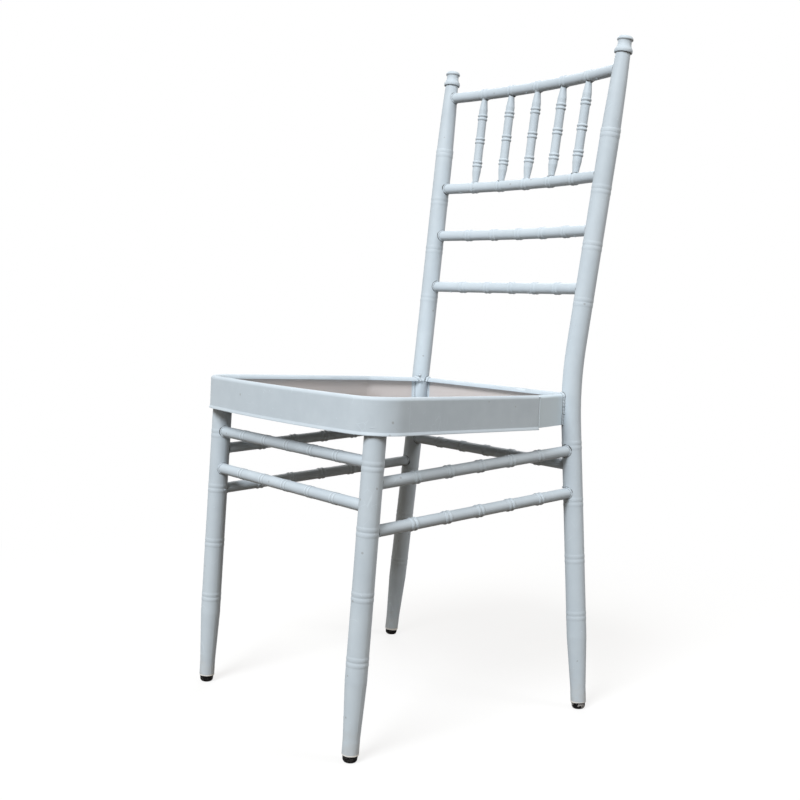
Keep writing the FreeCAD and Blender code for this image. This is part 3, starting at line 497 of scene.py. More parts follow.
class CHAIR_OT_seat_welds(bpy.types.Operator):
    """Weld the seat's band and corner plates to each other, to the posts and to the legs"""

    bl_idname = "chair.seat_welds"
    bl_label = "Seat welds"

    def execute(self, context):
        welds = context.scene.chair_welds
        walls = (("tail", SEAT_BEND, TAIL_WAY, sideways(TAIL_WAY)),
                 ("rear", REAR_START, REAR_WAY, -sideways(REAR_WAY)))
        for side_word, side in SIDES.items():
            for number, (word, start, way, out) in enumerate(walls):
                label = "weld_%s_%s_%%s" % (word, side_word)
                seed = 21 + 4 * number + side
                for part, section, thick in (("rim", RIM_SECTION, welds.band_bead),
                                             ("wall", WALL_SECTION, welds.stitch_bead),
                                             ("hem", HEM_SECTION, welds.stitch_bead)):
                    post_joint(label % part, start, way, out, section, side, thick, seed)
                    seed += 1
            self.seams(side_word, side, welds.seam_bead)
            self.plates(side_word, side, welds.stitch_bead)
        return {"FINISHED"}

    def seams(self, side_word, side, thick):
        """upright seams at the bend and beside the front corner"""
        upright("weld_bend_" + side_word, SEAT_BEND + TAIL_WAY * BEND_SEAM_LAG, BEND_SEAM,
                side, thick, 31 + side)
        upright("weld_seam_" + side_word, SEAT_SEAM - Vector((SHEET, 0)), BUTT_SEAM,
                side, thick, 35 + side)

    def plates(self, side_word, side, thick):
        """rings and stitches on the undersides of the corner plates"""
        under, above = (leg_point(side, LEG_TOP.z + gap) for gap in LEG_END)
        ring = ring_on("weld_leg_top_" + side_word, under, above, TUBE_RADIUS + FIT,
                       "corner_plate_front_" + side_word)
        lay_bead(ring, thick, 41 + side)
        stitch("weld_post_plate_" + side_word,
               arc(post_spot(PLATE_UNDER), TUBE_RADIUS, *POST_STITCH, 9), side, thick, 43 + side)
        for number, turn in enumerate(CORNER_STITCHES):
            spots = arc(SEAT_CORNER, CORNER_RADIUS - SHEET, turn - CORNER_STITCH_HALF,
                        turn + CORNER_STITCH_HALF)
            stitch("weld_plate_front_%s_%d" % (side_word, number + 1), spots, side, thick,
                   47 + 3 * number + side)
        inner = SEAT_BEND - sideways(TAIL_WAY) * SHEET
        stitch("weld_plate_tail_" + side_word, [inner + TAIL_WAY * n * MM for n in TAIL_STITCH],
               side, thick, 61 + side)
        inner = REAR_START - Vector((0, SHEET))
        stitch("weld_plate_rear_" + side_word, [inner + REAR_WAY * n * MM for n in REAR_STITCH],
               side, thick, 63 + side)


# Vent holes and drops of coat; profiles are (radius, height) in millimetres

# A vent is (rail, distance from the chair's middle)
VENTS = (("top", -21.3), ("top", 128), ("second", -128), ("third", 126), ("lowest", -122),
         ("lowest", 40.9))
VENT_WAY = Vector((0, -0.42, -0.91)).normalized()
VENT_SINK = 0.03 * MM
BURR = ((1.9, -0.5), (1.9, 0.02), (1.78, 0.16), (1.6, 0.2), (1.46, 0.14), (1.42, 0.02))
HOLE = ((1.44, -0.3), (1.44, 0.045), (1.2, 0.05))

# A drop is (name, place, direction, radius); its profile is for a radius of 1
DROPS = (("drop_post_left", (166.4, 138.5, 302), (-0.633, -0.772, -0.055), 1.3),
         ("drop_leg_right", (-163.4, -203.3, 276.5), (0.929, 0.368, 0.047), 1.2),
         ("drop_post_right", (-152.9, 142.5, 434.6), (0.746, -0.666, 0.007), 1.8),
         ("drop_bend_left", (186.6, 63.6, 430.4), (0.86, 0.2, 0.45), 1.1),
         ("drop_tail_left", (164.2, 137.6, 404), (0.1, -0.99, 0), 1.5),
         ("drop_post_low_left", (176.1, 161.5, 318), (-0.5, 0.86, 0), 1.2))
DROP_PROFILE = ((1.0, -0.5), (1.0, 0.0), (0.93, 0.22), (0.72, 0.42), (0.4, 0.55), (0.15, 0.6))
DROP_UNEVEN, DROP_GRAIN = 0.16, 900


def stood_on(obj, place, way):
    """moves a piece drawn about Z to a place of the surface, standing along way"""
    obj.matrix_world = Matrix.Translation(place) @ turn_to(way).to_matrix().to_4x4()
    take(obj)
    bpy.ops.object.transform_apply()
    bpy.ops.object.shade_smooth_by_angle(angle=math.radians(50))
    return obj


class CHAIR_OT_vents(bpy.types.Operator):
    """Set vent holes with a burr on the undersides of the rails; each hole is a near-black disc
    that paints the shade inside the tube
    """

    bl_idname = "chair.vents"
    bl_label = "Vent holes"

    def execute(self, context):
        for number, (word, across) in enumerate(VENTS):
            place = rail_point(RAILS[word], across * MM) + VENT_WAY * (RAIL_RADIUS - VENT_SINK)
            # the hole is a near-black disc inside the burr: painted shade, no opening
            for name, profile, finish in (("vent_rim_%d", BURR, "powder_coat"),
                                          ("vent_hole_%d", HOLE, "tube_inside")):
                piece = stood_on(drawn(name % number, profile, points=24), place, VENT_WAY)
                settle(piece, "powder_coat", finish)
        return {"FINISHED"}


class CHAIR_OT_drops(bpy.types.Operator):
    """Let a few drops of coat and weld spatter stick near the joints"""

    bl_idname = "chair.drops"
    bl_label = "Drops"

    def execute(self, context):
        for number, (name, place, way, radius) in enumerate(DROPS):
            drop = drawn(name, DROP_PROFILE, radius, points=20)
            for vertex in drop.data.vertices:
                lump = noise.noise(vertex.co * DROP_GRAIN + Vector((number, 0, 0)))
                vertex.co.xy *= 1 + DROP_UNEVEN * lump
            stood_on(drop, Vector(place) * MM, Vector(way).normalized())
            settle(drop, "powder_coat")
        return {"FINISHED"}


# Node helpers

def add(tree, kind, **values):
    """a node with some of its inputs or properties set"""
    node = tree.nodes.new(kind)
    for name, value in values.items():
        if name in node.inputs:
            node.inputs[name].default_value = value
        else:
            setattr(node, name, value)
    return node


def link(tree, source, target):
    """a wire from a node's output to another's input"""
    tree.links.new(source, target)


def maths(tree, operation, *terms, clamp=False):
    """a Math node on sockets or numbers"""
    node = add(tree, "ShaderNodeMath", operation=operation, use_clamp=clamp)
    for socket, term in zip(node.inputs, terms):
        if isinstance(term, (int, float)):
            socket.default_value = term
        else:
            link(tree, term, socket)
    return node.outputs[0]


def product(tree, first, *others):
    """masks multiplied together"""
    for mask in others:
        first = maths(tree, "MULTIPLY", first, mask)
    return first


def axes(tree, vector):
    """the X, Y and Z of a vector"""
    node = add(tree, "ShaderNodeSeparateXYZ")
    link(tree, vector, node.inputs[0])
    return tuple(node.outputs)


def vector_maths(tree, operation, vector, other=None):
    """a Vector Math node, with a socket or a plain vector as its second term"""
    node = add(tree, "ShaderNodeVectorMath", operation=operation)
    link(tree, vector, node.inputs[0])
    if isinstance(other, tuple):
        node.inputs[1].default_value = other
    elif other is not None:
        link(tree, other, node.inputs[1])
    return node.outputs["Value" if operation in ("DOT_PRODUCT", "LENGTH", "DISTANCE") else "Vector"]


def spread(tree, source, low, high, to_low=0.0, to_high=1.0):
    """a smooth step of a value between two limits; it falls where low is above high"""
    node = add(tree, "ShaderNodeMapRange", interpolation_type="SMOOTHSTEP")
    link(tree, source, node.inputs["Value"])
    limits = {"From Min": low, "From Max": high, "To Min": to_low, "To Max": to_high}
    for name, value in limits.items():
        node.inputs[name].default_value = value
    return node.outputs["Result"]


def ramp(tree, source, stops):
    """a colour ramp through (place, colour) stops"""
    node = tree.nodes.new("ShaderNodeValToRGB")
    elements = node.color_ramp.elements
    while len(elements) < len(stops):
        elements.new(0.5)
    for element, (place, colour) in zip(elements, stops):
        element.position = place
        element.color = (*colour, 1)
    link(tree, source, node.inputs["Fac"])
    return node.outputs["Color"]


MIX_UNDER, MIX_OVER, MIX_RESULT = 6, 7, 2


def tint(tree, mask, under, over, share=1):
    """a plain colour laid over a colour socket through a share of a mask"""
    if share != 1:
        mask = maths(tree, "MULTIPLY", mask, share)
    node = add(tree, "ShaderNodeMix", data_type="RGBA")
    link(tree, mask, node.inputs["Factor"])
    link(tree, under, node.inputs[MIX_UNDER])
    node.inputs[MIX_OVER].default_value = (*over, 1)
    return node.outputs[MIX_RESULT]


def turbulence(tree, place, scale, detail=2.0):
    """a noise whose scale is a number or a socket"""
    node = add(tree, "ShaderNodeTexNoise", Detail=detail)
    link(tree, place, node.inputs["Vector"])
    if isinstance(scale, (int, float)):
        node.inputs["Scale"].default_value = scale
    else:
        link(tree, scale, node.inputs["Scale"])
    return node.outputs["Fac"]


def new_group(name, inputs, output):
    """an empty node group with float inputs given as name: default, and one value output"""
    tree = bpy.data.node_groups.new(name, "ShaderNodeTree")
    for label, value in inputs.items():
        socket = tree.interface.new_socket(label, in_out="INPUT", socket_type="NodeSocketFloat")
        socket.default_value = value
    tree.interface.new_socket(output, in_out="OUTPUT", socket_type="NodeSocketFloat")
    entry = tree.nodes.new("NodeGroupInput")
    leave = tree.nodes.new("NodeGroupOutput")
    place = tree.nodes.new("ShaderNodeTexCoord").outputs["Object"]
    return tree, entry.outputs, leave.inputs[output], place


def use(tree, name, **values):
    """a node group placed in a material with its own values"""
    node = add(tree, "ShaderNodeGroup", node_tree=bpy.data.node_groups[name])
    for label, value in values.items():
        node.inputs[label].default_value = value
    return node.outputs[0]


# Shared effects

def build_drift():
    """slow change of tone over the piece, broad clouds with finer ones inside"""
    tree, entry, leave, place = new_group("tone_drift", {"Scale": 8.0, "Fine": 60.0}, "Value")
    broad = turbulence(tree, place, entry["Scale"], 3.0)
    fine = turbulence(tree, place, entry["Fine"], 3.0)
    both = maths(tree, "MULTIPLY_ADD", fine, 0.35, maths(tree, "MULTIPLY", broad, 0.65))
    link(tree, spread(tree, both, 0.32, 0.68), leave)


def build_peel():
    """relief of a sprayed coat: fine orange peel on slow waves"""
    tree, entry, leave, place = new_group("sprayed_skin", {"Scale": 420.0, "Waves": 55.0}, "Height")
    fine = turbulence(tree, place, entry["Scale"], 1.0)
    slow = turbulence(tree, place, entry["Waves"], 1.0)
    link(tree, maths(tree, "MULTIPLY_ADD", slow, 1.6, fine), leave)


def build_scratches():
    """fine scratches in patches, along cell borders of a pattern drawn out one way"""
    tree, entry, leave, place = new_group("scratches", {"Scale": 22.0, "Cover": 0.5}, "Mask")
    drawn_out = add(tree, "ShaderNodeMapping", Rotation=(0.5, 0.9, 0.3), Scale=(1.0, 7.0, 2.2))
    link(tree, place, drawn_out.inputs["Vector"])
    cells = add(tree, "ShaderNodeTexVoronoi", feature="DISTANCE_TO_EDGE")
    link(tree, drawn_out.outputs[0], cells.inputs["Vector"])
    link(tree, entry["Scale"], cells.inputs["Scale"])
    line = spread(tree, cells.outputs["Distance"], 0.02, 0.004)
    patch = spread(tree, turbulence(tree, place, 26.0), 0.56, 0.68)
    link(tree, product(tree, line, patch, entry["Cover"]), leave)


def build_specks():
    """small round spots scattered thinly: chips, pips and dirt"""
    tree, entry, leave, place = new_group(
        "specks", {"Scale": 160.0, "Rare": 0.9, "Size": 0.22}, "Mask")
    wobble = turbulence(tree, place, 900.0, 1.0)
    cells = add(tree, "ShaderNodeTexVoronoi", feature="F1")
    link(tree, place, cells.inputs["Vector"])
    link(tree, entry["Scale"], cells.inputs["Scale"])
    apart = maths(tree, "MULTIPLY_ADD", wobble, 0.12, cells.outputs["Distance"])
    spot = maths(tree, "LESS_THAN", apart, maths(tree, "ADD", entry["Size"], 0.06))
    lot = add(tree, "ShaderNodeSeparateColor")
    link(tree, cells.outputs["Color"], lot.inputs[0])
    chosen = maths(tree, "GREATER_THAN", lot.outputs[0], entry["Rare"])
    link(tree, maths(tree, "MULTIPLY", spot, chosen), leave)


def build_floor_dirt():
    """dirt that climbs the feet from the floor and breaks up on its way"""
    tree, entry, leave, place = new_group("floor_dirt", {"Reach": 0.06, "Break": 90.0}, "Mask")
    rise = maths(tree, "DIVIDE", axes(tree, place)[2], entry["Reach"])
    ragged = maths(tree, "MULTIPLY_ADD", turbulence(tree, place, entry["Break"], 4.0), 1.4, rise)
    link(tree, spread(tree, ragged, 1.5, 0.5), leave)


GROUPS_BUILT = (build_drift, build_peel, build_scratches, build_specks, build_floor_dirt)


# Finishes

def emptied(owner):
    """the node tree of a material or a world, with nothing in it"""
    owner.use_nodes = True
    owner.node_tree.nodes.clear()
    return owner.node_tree


def new_material(name):
    """a material with a Principled shader; gives its tree and the shader"""
    tree = emptied(bpy.data.materials.new(name))
    output = tree.nodes.new("ShaderNodeOutputMaterial")
    shader = tree.nodes.new("ShaderNodeBsdfPrincipled")
    link(tree, shader.outputs["BSDF"], output.inputs["Surface"])
    return tree, shader


def bumped(tree, shader, height, depth):
    """lets a height raise the shader's surface"""
    bump = add(tree, "ShaderNodeBump", Strength=1.0, Distance=depth)
    link(tree, height, bump.inputs["Height"])
    link(tree, bump.outputs["Normal"], shader.inputs["Normal"])


def scaled(colour, *by):
    """a plain colour with each channel multiplied"""
    return tuple(min(c * k, 1) for c, k in zip(colour, by * 3 if len(by) == 1 else by))


# Where the coat's masks begin and where they are full; heights over the seat follow its fall
BARE_EDGE = (11.2 * MM, 10.2 * MM)
PANEL_FROM, PANEL_TO = (385 * MM, 392 * MM), (414 * MM, 408 * MM)
PLATES_FROM = (386 * MM, 390 * MM)
WALL_SHADE_TO, TAIL_TO = (428.5 * MM, 427 * MM), (436.5 * MM, 434.5 * MM)
WALL_SHADE_REACH = (140 * MM, 160 * MM)
TAIL_FROM = (62.5 * MM, 65.5 * MM)
POST_AT_SEAT, POST_FACE = (163.5 * MM, 150.7 * MM, 0), (16.5 * MM, 18.5 * MM)
AHEAD_OF_POSTS = (0.0, -10 * MM)
STRETCHER_DEPTH = (-185 * MM, -190 * MM)
STRETCHERS_FROM, STRETCHERS_TO = (285 * MM, 290 * MM), (383 * MM, 378 * MM)
STRETCHER_HALF = (163 * MM, 160 * MM)

# Reach of the coat's searches for edges, grooves and corners; the first stays inside a tube's wall
CREST_REACH, GROOVE_REACH, CORNER_REACH = 0.7 * MM, 1.1 * MM, 4.5 * MM


def surface(tree):
    """the sockets that the coat's layers share: place and facing, heights, and distances in plan"""
    place = add(tree, "ShaderNodeTexCoord").outputs["Object"]
    facing = add(tree, "ShaderNodeNewGeometry").outputs["Normal"]
    x, y, z = axes(tree, place)
    facing_x, _, facing_z = axes(tree, facing)
    in_plan = vector_maths(tree, "MULTIPLY", place, (1, 1, 0))
    outward = vector_maths(tree, "NORMALIZE", in_plan)
    folded = vector_maths(tree, "ABSOLUTE", in_plan)
    return SimpleNamespace(
        place=place, y=y, z=z, facing_x=facing_x, facing_z=facing_z,
        aside=maths(tree, "ABSOLUTE", x), reach=vector_maths(tree, "LENGTH", in_plan),
        outward=vector_maths(tree, "DOT_PRODUCT", facing, outward),
        over_seat=maths(tree, "MULTIPLY_ADD", y, SEAT_FALL, z),
        from_post=vector_maths(tree, "DISTANCE", folded, POST_AT_SEAT))


def panel_dust_and_shade(tree, at):
    """mask of the dust that lies on the seat's panel; it also darkens the floor of the seat's
    recess as painted shade
    """
    level = spread(tree, at.facing_z, 0.75, 0.97)
    in_seat = product(tree, spread(tree, at.z, *PANEL_FROM), spread(tree, at.z, *PANEL_TO))
    settled = spread(tree, turbulence(tree, at.place, 34.0, 4.0), 0.34, 0.66)
    return product(tree, level, in_seat, settled)


def seat_walls(tree, coat, at, colour):
    """painted warm shade and reflection on the band's inner face, and painted light on the outer
    face of its rear part
    """
    base = tuple(coat.colour)
    off_post = maths(tree, "MAXIMUM", spread(tree, at.from_post, *POST_FACE),
                     spread(tree, at.y, *AHEAD_OF_POSTS))
    above_plates = product(tree, off_post, spread(tree, at.over_seat, *PLATES_FROM))
    # painted shade: the band's inner face above the plates is made darker and warmer, as the shade
    # and warm reflection in the recess
    inner_wall_shade = product(tree, spread(tree, at.outward, -0.3, -0.6), above_plates,
                   spread(tree, at.over_seat, *WALL_SHADE_TO), spread(tree, at.reach, *WALL_SHADE_REACH))
    inner_wall_shade = maths(tree, "MULTIPLY", inner_wall_shade, 1.6 * coat.dust_and_shade, clamp=True)
    colour = tint(tree, inner_wall_shade, colour, scaled(base, 1.04, 0.80, 0.685))
    # painted light: the outer face of the band's rear part is made paler and bluer, as if it caught
    # more light
    tail = product(tree, spread(tree, at.y, *TAIL_FROM), above_plates,
                   spread(tree, at.over_seat, *TAIL_TO), spread(tree, at.outward, 0.3, 0.6))
    return tint(tree, tail, colour, scaled(base, 1.3, 1.34, 1.35))


def painted_ring_flanks(tree, coat, at, colour):
    """painted highlight on one side and painted shade on the other of the shallow rings of the
    front stretchers
    """
    shallow = product(tree, spread(tree, at.y, *STRETCHER_DEPTH),
                      spread(tree, at.z, *STRETCHERS_FROM), spread(tree, at.z, *STRETCHERS_TO),
                      spread(tree, at.aside, *STRETCHER_HALF))
    # flanks that face -X get a painted highlight, flanks that face +X a painted shade
    for low, high, tone in ((-0.05, -0.17, 1.28), (0.05, 0.17, 0.84)):
        flank = product(tree, shallow, spread(tree, at.facing_x, low, high))
        colour = tint(tree, flank, colour, scaled(coat.colour, tone))
    return colour


def found(tree, low, high, **search):
    """mask of the places that an Ambient Occlusion node finds"""
    search = {"samples": 8, **search}
    node = add(tree, "ShaderNodeAmbientOcclusion", **search)
    return spread(tree, node.outputs["AO"], high, low)


def edges_and_corners(tree, coat, at, colour):
    """painted highlight on crests, painted shade in grooves, and painted shade where tubes meet"""
    base = tuple(coat.colour)
    # painted highlight: crests of rings and beads are made paler, partly as edge wear
    crest_highlight = found(tree, 0.6, 0.95, inside=True, only_local=True, Distance=CREST_REACH)
    colour = tint(tree, crest_highlight, colour, scaled(base, 1.35), 0.5 * coat.wear_and_highlight)
    # painted shade: grooves between beads are made dark
    groove_shade = found(tree, 0.55, 0.93, Distance=GROOVE_REACH)
    colour = tint(tree, groove_shade, colour, scaled(base, 0.42, 0.40, 0.38), 0.8 * coat.crevice_shade)
    # painted shade: corners where tubes meet are made nearly black, broken up in smears
    corner_shade = found(tree, 0.25, 0.75, samples=12, Distance=CORNER_REACH)
    smear = spread(tree, turbulence(tree, at.place, 130.0), 0.2, 0.6, 0.7, 1.0)
    return tint(tree, product(tree, corner_shade, smear), colour, (0.052, 0.046, 0.042), coat.crevice_shade)


def coat_material(coat):
    """satin powder coat: drifting tone, orange peel, wear and dust, with painted shade and light on
    undersides, in the seat, on rings, crests, grooves and corners
    """
    tree, shader = new_material("powder_coat")
    base = tuple(coat.colour)
    at = surface(tree)

    drift = use(tree, "tone_drift", Scale=7.0, Fine=55.0)
    low = scaled(base, 1 - coat.drift * 1.2, 1 - coat.drift, 1 - coat.drift * 0.8)
    colour = ramp(tree, drift, ((0.0, low), (1.0, scaled(base, 1 + coat.drift))))

    worn = use(tree, "scratches", Scale=20.0, Cover=coat.wear_and_highlight)
    chips = use(tree, "specks", Scale=120.0, Rare=0.965, Size=0.2)
    pips = use(tree, "specks", Scale=210.0, Rare=0.95, Size=0.16)
    chips, pips = (maths(tree, "MULTIPLY", spots, coat.wear_and_highlight) for spots in (chips, pips))
    colour = tint(tree, worn, colour, scaled(base, 1.22))
    colour = tint(tree, chips, colour, scaled(base, 0.55, 0.5, 0.46))
    colour = tint(tree, pips, colour, scaled(base, 1.3))

    dirt = use(tree, "floor_dirt", Reach=0.07, Break=90.0)
    colour = tint(tree, dirt, colour, (0.47, 0.42, 0.36), 0.6 * coat.dust_and_shade)
    colour = tint(tree, spread(tree, at.z, *BARE_EDGE), colour, (0.90, 0.86, 0.80), 0.8)
    # dust on the seat's panel, darker and warmer than the coat: partly dust, partly painted shade
    # of the recess
    dust_and_shade = panel_dust_and_shade(tree, at)
    colour = tint(tree, dust_and_shade, colour, (0.50, 0.47, 0.42), 0.7 * coat.dust_and_shade)
    # painted shade: faces that look down are made darker and warmer, scaled by the same setting as
    # the dust
    underside_shade = spread(tree, at.facing_z, -0.25, -0.9)
    colour = tint(tree, underside_shade, colour, scaled(base, 0.72, 0.62, 0.54), coat.dust_and_shade)

    colour = seat_walls(tree, coat, at, colour)
    colour = painted_ring_flanks(tree, coat, at, colour)
    colour = edges_and_corners(tree, coat, at, colour)
    link(tree, colour, shader.inputs["Base Color"])

    rough = maths(tree, "MULTIPLY_ADD", drift, 0.08, coat.roughness - 0.04)
    rough = maths(tree, "MULTIPLY_ADD", dirt, 0.2, rough)
    rough = maths(tree, "MULTIPLY_ADD", dust_and_shade, 0.25, rough)
    rough = maths(tree, "MULTIPLY_ADD", worn, 0.12, rough, clamp=True)
    link(tree, rough, shader.inputs["Roughness"])
    shader.inputs["Specular IOR Level"].default_value = coat.shine

    skin = use(tree, "sprayed_skin", Scale=420.0, Waves=55.0)
    height = maths(tree, "MULTIPLY_ADD", chips, -2.0, maths(tree, "MULTIPLY_ADD", pips, 1.5, skin))
    bumped(tree, shader, height, coat.peel)


# Where the chair's back left quarter begins; the cap in it is rubbed most
MIDDLE_TO_QUARTER = (0.0, 20 * MM)


def rubber_material(feet):
    """black plastic, scuffed pale and dusty round its foot"""
    tree, shader = new_material("foot_rubber")
    base = tuple(feet.colour)
    drift = use(tree, "tone_drift", Scale=60.0, Fine=400.0)
    colour = ramp(tree, drift, ((0.0, scaled(base, 0.8)), (1.0, scaled(base, 1.7))))
    scuffs = use(tree, "scratches", Scale=90.0, Cover=1.0)
    colour = tint(tree, scuffs, colour, (0.10, 0.095, 0.09), feet.scuff)
    x, y, _ = axes(tree, add(tree, "ShaderNodeTexCoord").outputs["Object"])
    worst = product(tree, spread(tree, y, *MIDDLE_TO_QUARTER), spread(tree, x, *MIDDLE_TO_QUARTER))
    rubbed = spread(tree, use(tree, "tone_drift", Scale=210.0, Fine=620.0), 0.5, 0.66)
    strength = maths(tree, "MULTIPLY_ADD", worst, 1.5, 0.08)
    rubbed = maths(tree, "MULTIPLY", rubbed, strength, clamp=True)
    colour = tint(tree, rubbed, colour, (0.62, 0.60, 0.58), feet.scuff)
    dirt = use(tree, "floor_dirt", Reach=0.005, Break=300.0)
    colour = tint(tree, dirt, colour, (0.06, 0.052, 0.045), 0.3 * feet.scuff)
    link(tree, colour, shader.inputs["Base Color"])
    link(tree, spread(tree, drift, 0.0, 1.0, 0.5, 0.78), shader.inputs["Roughness"])
    shader.inputs["Specular IOR Level"].default_value = 0.07
    bumped(tree, shader, use(tree, "sprayed_skin", Scale=900.0, Waves=240.0), 0.06 * MM)


def steel_material():
    """zinc-plated steel with a faint colour drift"""
    tree, shader = new_material("screw_steel")
    drift = use(tree, "tone_drift", Scale=140.0, Fine=700.0)
    colour = ramp(tree, drift, ((0.0, (0.50, 0.48, 0.44)), (0.5, (0.62, 0.62, 0.60)),
                                (1.0, (0.60, 0.63, 0.68))))
    link(tree, colour, shader.inputs["Base Color"])
    link(tree, spread(tree, drift, 0.0, 1.0, 0.28, 0.46), shader.inputs["Roughness"])
    shader.inputs["Metallic"].default_value = 1
    bumped(tree, shader, use(tree, "sprayed_skin", Scale=1500.0, Waves=300.0), 0.02 * MM)


def opening_material():
    """near-black painted shade for the unlit inside of a tube, seen through a hole or a gap"""
    tree, shader = new_material("tube_inside")
    drift = use(tree, "tone_drift", Scale=300.0, Fine=900.0)
    link(tree, ramp(tree, drift, ((0.0, (0.010, 0.009, 0.009)), (1.0, (0.028, 0.025, 0.023)))),
         shader.inputs["Base Color"])
    shader.inputs["Roughness"].default_value = 0.9
    shader.inputs["Specular IOR Level"].default_value = 0.1
    bumped(tree, shader, use(tree, "sprayed_skin", Scale=1500.0, Waves=400.0), 0.05 * MM)


class CHAIR_OT_finishes(bpy.types.Operator):
    """Give every piece of the frame its finish"""

    bl_idname = "chair.finishes"
    bl_label = "Finishes"

    def execute(self, context):
        for plain in list(bpy.data.materials):
            bpy.data.materials.remove(plain)
        for build in GROUPS_BUILT:
            build()
        coat_material(context.scene.chair_coat)
        rubber_material(context.scene.chair_feet)
        steel_material()
        opening_material()
        slots = {entry["node"]: entry["material_slot"] for entry in frame["record"]["subparts"]}
        for name, node in NODES.items():
            for slot in node.material_slots:
                slot.material = bpy.data.materials[slots[name]]
        return {"FINISHED"}


# Foot caps

# (radius, height) in millimetres from the end of the tube; the part under the floor is cut off
CAP_PROFILE = ((9.2, 0.6), (9.75, 0.25), (9.8, -0.7), (9.45, -1.1), (9.2, -1.6), (9.25, -3.6),
               (9.05, -5.4), (8.4, -6.9), (7.3, -8.0), (5.9, -8.7), (4.2, -9.0), (2.0, -9.1))
CAP_HIGH = 9 * MM
CUT_HEIGHT, CUT_REACH = 0.02 * MM, 0.01 * MM
LEANS = {"front": (LEG_FOOT, LEG_TOP), "back": (POST_FOOT, POST_BEND)}


class CHAIR_OT_foot_caps(bpy.types.Operator):
    """Model the worn plastic caps on the legs"""

    bl_idname = "chair.foot_caps"
    bl_label = "Foot caps"

    def execute(self, context):
        for word, (foot, head) in LEANS.items():
            for side_word, side in SIDES.items():
                start = axis_point(foot, head, 0, side)
                way = (axis_point(foot, head, head.z, side) - start).normalized()
                cap = drawn("worn_cap_%s_%s" % (word, side_word), CAP_PROFILE)
                apply(cap, "SUBSURF", levels=1, render_levels=1)
                cap.matrix_world = (Matrix.Translation(start + way * CAP_HIGH)
                                    @ turn_to(way).to_matrix().to_4x4())
                take(cap)
                bpy.ops.object.transform_apply()
                bpy.ops.object.mode_set(mode="EDIT")
                bpy.ops.mesh.select_all(action="SELECT")
                bpy.ops.mesh.bisect(plane_co=(0, 0, CUT_HEIGHT), plane_no=(0, 0, 1), use_fill=True,
                                    clear_inner=True, threshold=CUT_REACH)
                bpy.ops.object.mode_set(mode="OBJECT")
                bpy.ops.object.shade_smooth_by_angle(angle=math.radians(40))
                settle(cap, "foot_rubber")
                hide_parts("foot_cap_%s_%s" % (word, side_word))
        return {"FINISHED"}


# Studio

# Distance from the chair's middle over which the floor turns from shaded to plain white
SHADE_END = (0.35, 1.2)

# A lamp is (name, setting of its power, place, width, colour), aimed at the middle of the chair
LAMPS = (("key_lamp", "key", (1.79, -5.22, 5.53), 3.3, (0.94, 0.972, 1.0)),
         ("fill_lamp", "fill", (3.98, 2.89, 3.89), 2.4, (0.97, 0.98, 1.0)),
         ("back_lamp", "back", (-2.29, 1.86, 2.51), 2.2, (0.98, 0.99, 1.0)))
CHAIR_MIDDLE = Vector((0, 0, 0.45))
SKY = (1.0, 0.905, 0.785, 1)
FLOOR_WIDTH = 24


def seen_or_reflected(tree):
    """1 for the camera's own rays and for those that reflections and glass send on"""
    path = tree.nodes.new("ShaderNodeLightPath")
    seen = maths(tree, "MAXIMUM", path.outputs["Is Camera Ray"], path.outputs["Is Glossy Ray"])
    return maths(tree, "MAXIMUM", seen, path.outputs["Is Transmission Ray"])


def mixed(tree, share, first, second):
    """two shaders mixed by a share of the second"""
    node = tree.nodes.new("ShaderNodeMixShader")
    for source, socket in zip((share, first, second), node.inputs):
        link(tree, source, socket)
    return node.outputs[0]


def floor_material(studio):
    """white to the camera and to reflections, with the chair's shadow, and a warm grey reflector"""
    material = bpy.data.materials.new("studio_floor")
    tree = emptied(material)
    output = tree.nodes.new("ShaderNodeOutputMaterial")
    seen = seen_or_reflected(tree)
    away = vector_maths(tree, "LENGTH", add(tree, "ShaderNodeTexCoord").outputs["Object"])
    share = product(tree, seen, spread(tree, away, *SHADE_END, 0.78, 1.0))
    matt = add(tree, "ShaderNodeBsdfDiffuse", Color=(*studio.floor, 1))
    bright = add(tree, "ShaderNodeBsdfDiffuse", Color=(0.9, 0.9, 0.9, 1))
    glow = add(tree, "ShaderNodeEmission", Color=(1, 1, 1, 1), Strength=1.0)
    ground = mixed(tree, seen, matt.outputs[0], bright.outputs[0])
    link(tree, mixed(tree, share, ground, glow.outputs[0]), output.inputs["Surface"])
    return material


def studio_world(studio):
    """white where it is seen or reflected, and a soft warm sky as light"""
    world = bpy.data.worlds.new("studio_world")
    bpy.context.scene.world = world
    tree = emptied(world)
    output = tree.nodes.new("ShaderNodeOutputWorld")
    dim = add(tree, "ShaderNodeBackground", Color=SKY, Strength=studio.sky)
    white = add(tree, "ShaderNodeBackground", Color=(1, 1, 1, 1), Strength=1.0)
    share = seen_or_reflected(tree)
    link(tree, mixed(tree, share, dim.outputs[0], white.outputs[0]), output.inputs["Surface"])


def lamp(name, place, width, power, colour):
    """a round area lamp aimed at the middle of the chair"""
    start_clean()
    aim = (CHAIR_MIDDLE - Vector(place)).to_track_quat("-Z", "Y").to_euler()
    bpy.ops.object.light_add(type="AREA", location=place, rotation=aim)
    obj = bpy.context.object
    obj.name = name
    obj.data.shape = "DISK"
    obj.data.size = width
    obj.data.energy = power
    obj.data.color = colour


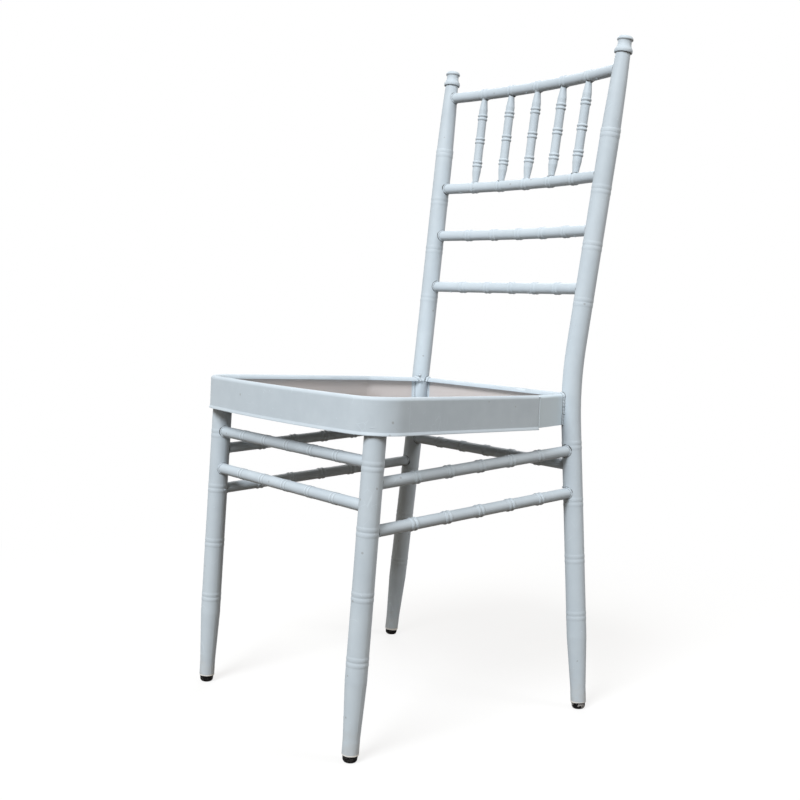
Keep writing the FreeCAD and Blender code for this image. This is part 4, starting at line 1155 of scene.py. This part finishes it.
def aim_camera(studio):
    """a camera where the photograph was taken, with its slight roll"""
    a, e, r = studio.azimuth, studio.elevation, studio.roll
    back = Vector((math.sin(a) * math.cos(e), -math.cos(a) * math.cos(e), math.sin(e)))
    right = Vector((math.cos(a), math.sin(a), 0))
    up = back.cross(right)
    rolled_right = right * math.cos(r) + up * math.sin(r)
    rolled_up = up * math.cos(r) - right * math.sin(r)
    data = bpy.data.cameras.new("camera")
    data.lens = studio.lens
    data.sensor_width = 36
    camera = bpy.data.objects.new("camera", data)
    bpy.context.scene.collection.objects.link(camera)
    turn = Matrix((rolled_right, rolled_up, back)).transposed().to_4x4()
    camera.matrix_world = Matrix.Translation(Vector(studio.camera_place)) @ turn
    bpy.context.scene.camera = camera


class CHAIR_OT_studio(bpy.types.Operator):
    """Set the floor, lamps and camera"""

    bl_idname = "chair.studio"
    bl_label = "Studio"

    def execute(self, context):
        studio = context.scene.chair_studio
        start_clean()
        bpy.ops.mesh.primitive_plane_add(size=FLOOR_WIDTH)
        floor = context.object
        floor.name = "studio_floor"
        floor.data.materials.append(floor_material(studio))
        studio_world(studio)
        for name, power, place, width, colour in LAMPS:
            lamp(name, place, width, getattr(studio, power), colour)
        aim_camera(studio)
        context.scene.view_settings.view_transform = "Standard"
        return {"FINISHED"}


class CHAIR_PT_panel(bpy.types.Panel):
    """Lists the steps and settings"""

    bl_idname = "CHAIR_PT_panel"
    bl_label = "Banquet Chair"
    bl_space_type = "VIEW_3D"
    bl_region_type = "UI"
    bl_category = "Chair"

    def draw(self, context):
        layout = self.layout
        for group in GROUPS:
            box = layout.box()
            settings = getattr(context.scene, group)
            for name in settings.__annotations__:
                box.prop(settings, name)
        for operator in STEPS:
            layout.operator(operator.bl_idname)


GROUPS = {"chair_coat": ChairCoat, "chair_welds": ChairWelds, "chair_feet": ChairFeet,
          "chair_studio": ChairStudio}
STEPS = (CHAIR_OT_finishes, CHAIR_OT_rail_welds, CHAIR_OT_stretcher_welds, CHAIR_OT_spindle_welds,
         CHAIR_OT_seat_welds, CHAIR_OT_vents, CHAIR_OT_drops, CHAIR_OT_foot_caps, CHAIR_OT_studio)


def register():
    for cls in (*GROUPS.values(), *STEPS, CHAIR_PT_panel):
        bpy.utils.register_class(cls)
    for name, cls in GROUPS.items():
        setattr(bpy.types.Scene, name, bpy.props.PointerProperty(type=cls))


def unregister():
    for name in GROUPS:
        delattr(bpy.types.Scene, name)
    for cls in (CHAIR_PT_panel, *reversed(STEPS), *reversed(tuple(GROUPS.values()))):
        bpy.utils.unregister_class(cls)


def main():
    register()
    for operator in STEPS:
        group, name = operator.bl_idname.split(".")
        getattr(getattr(bpy.ops, group), name)()


if __name__ == "__main__":
    main()
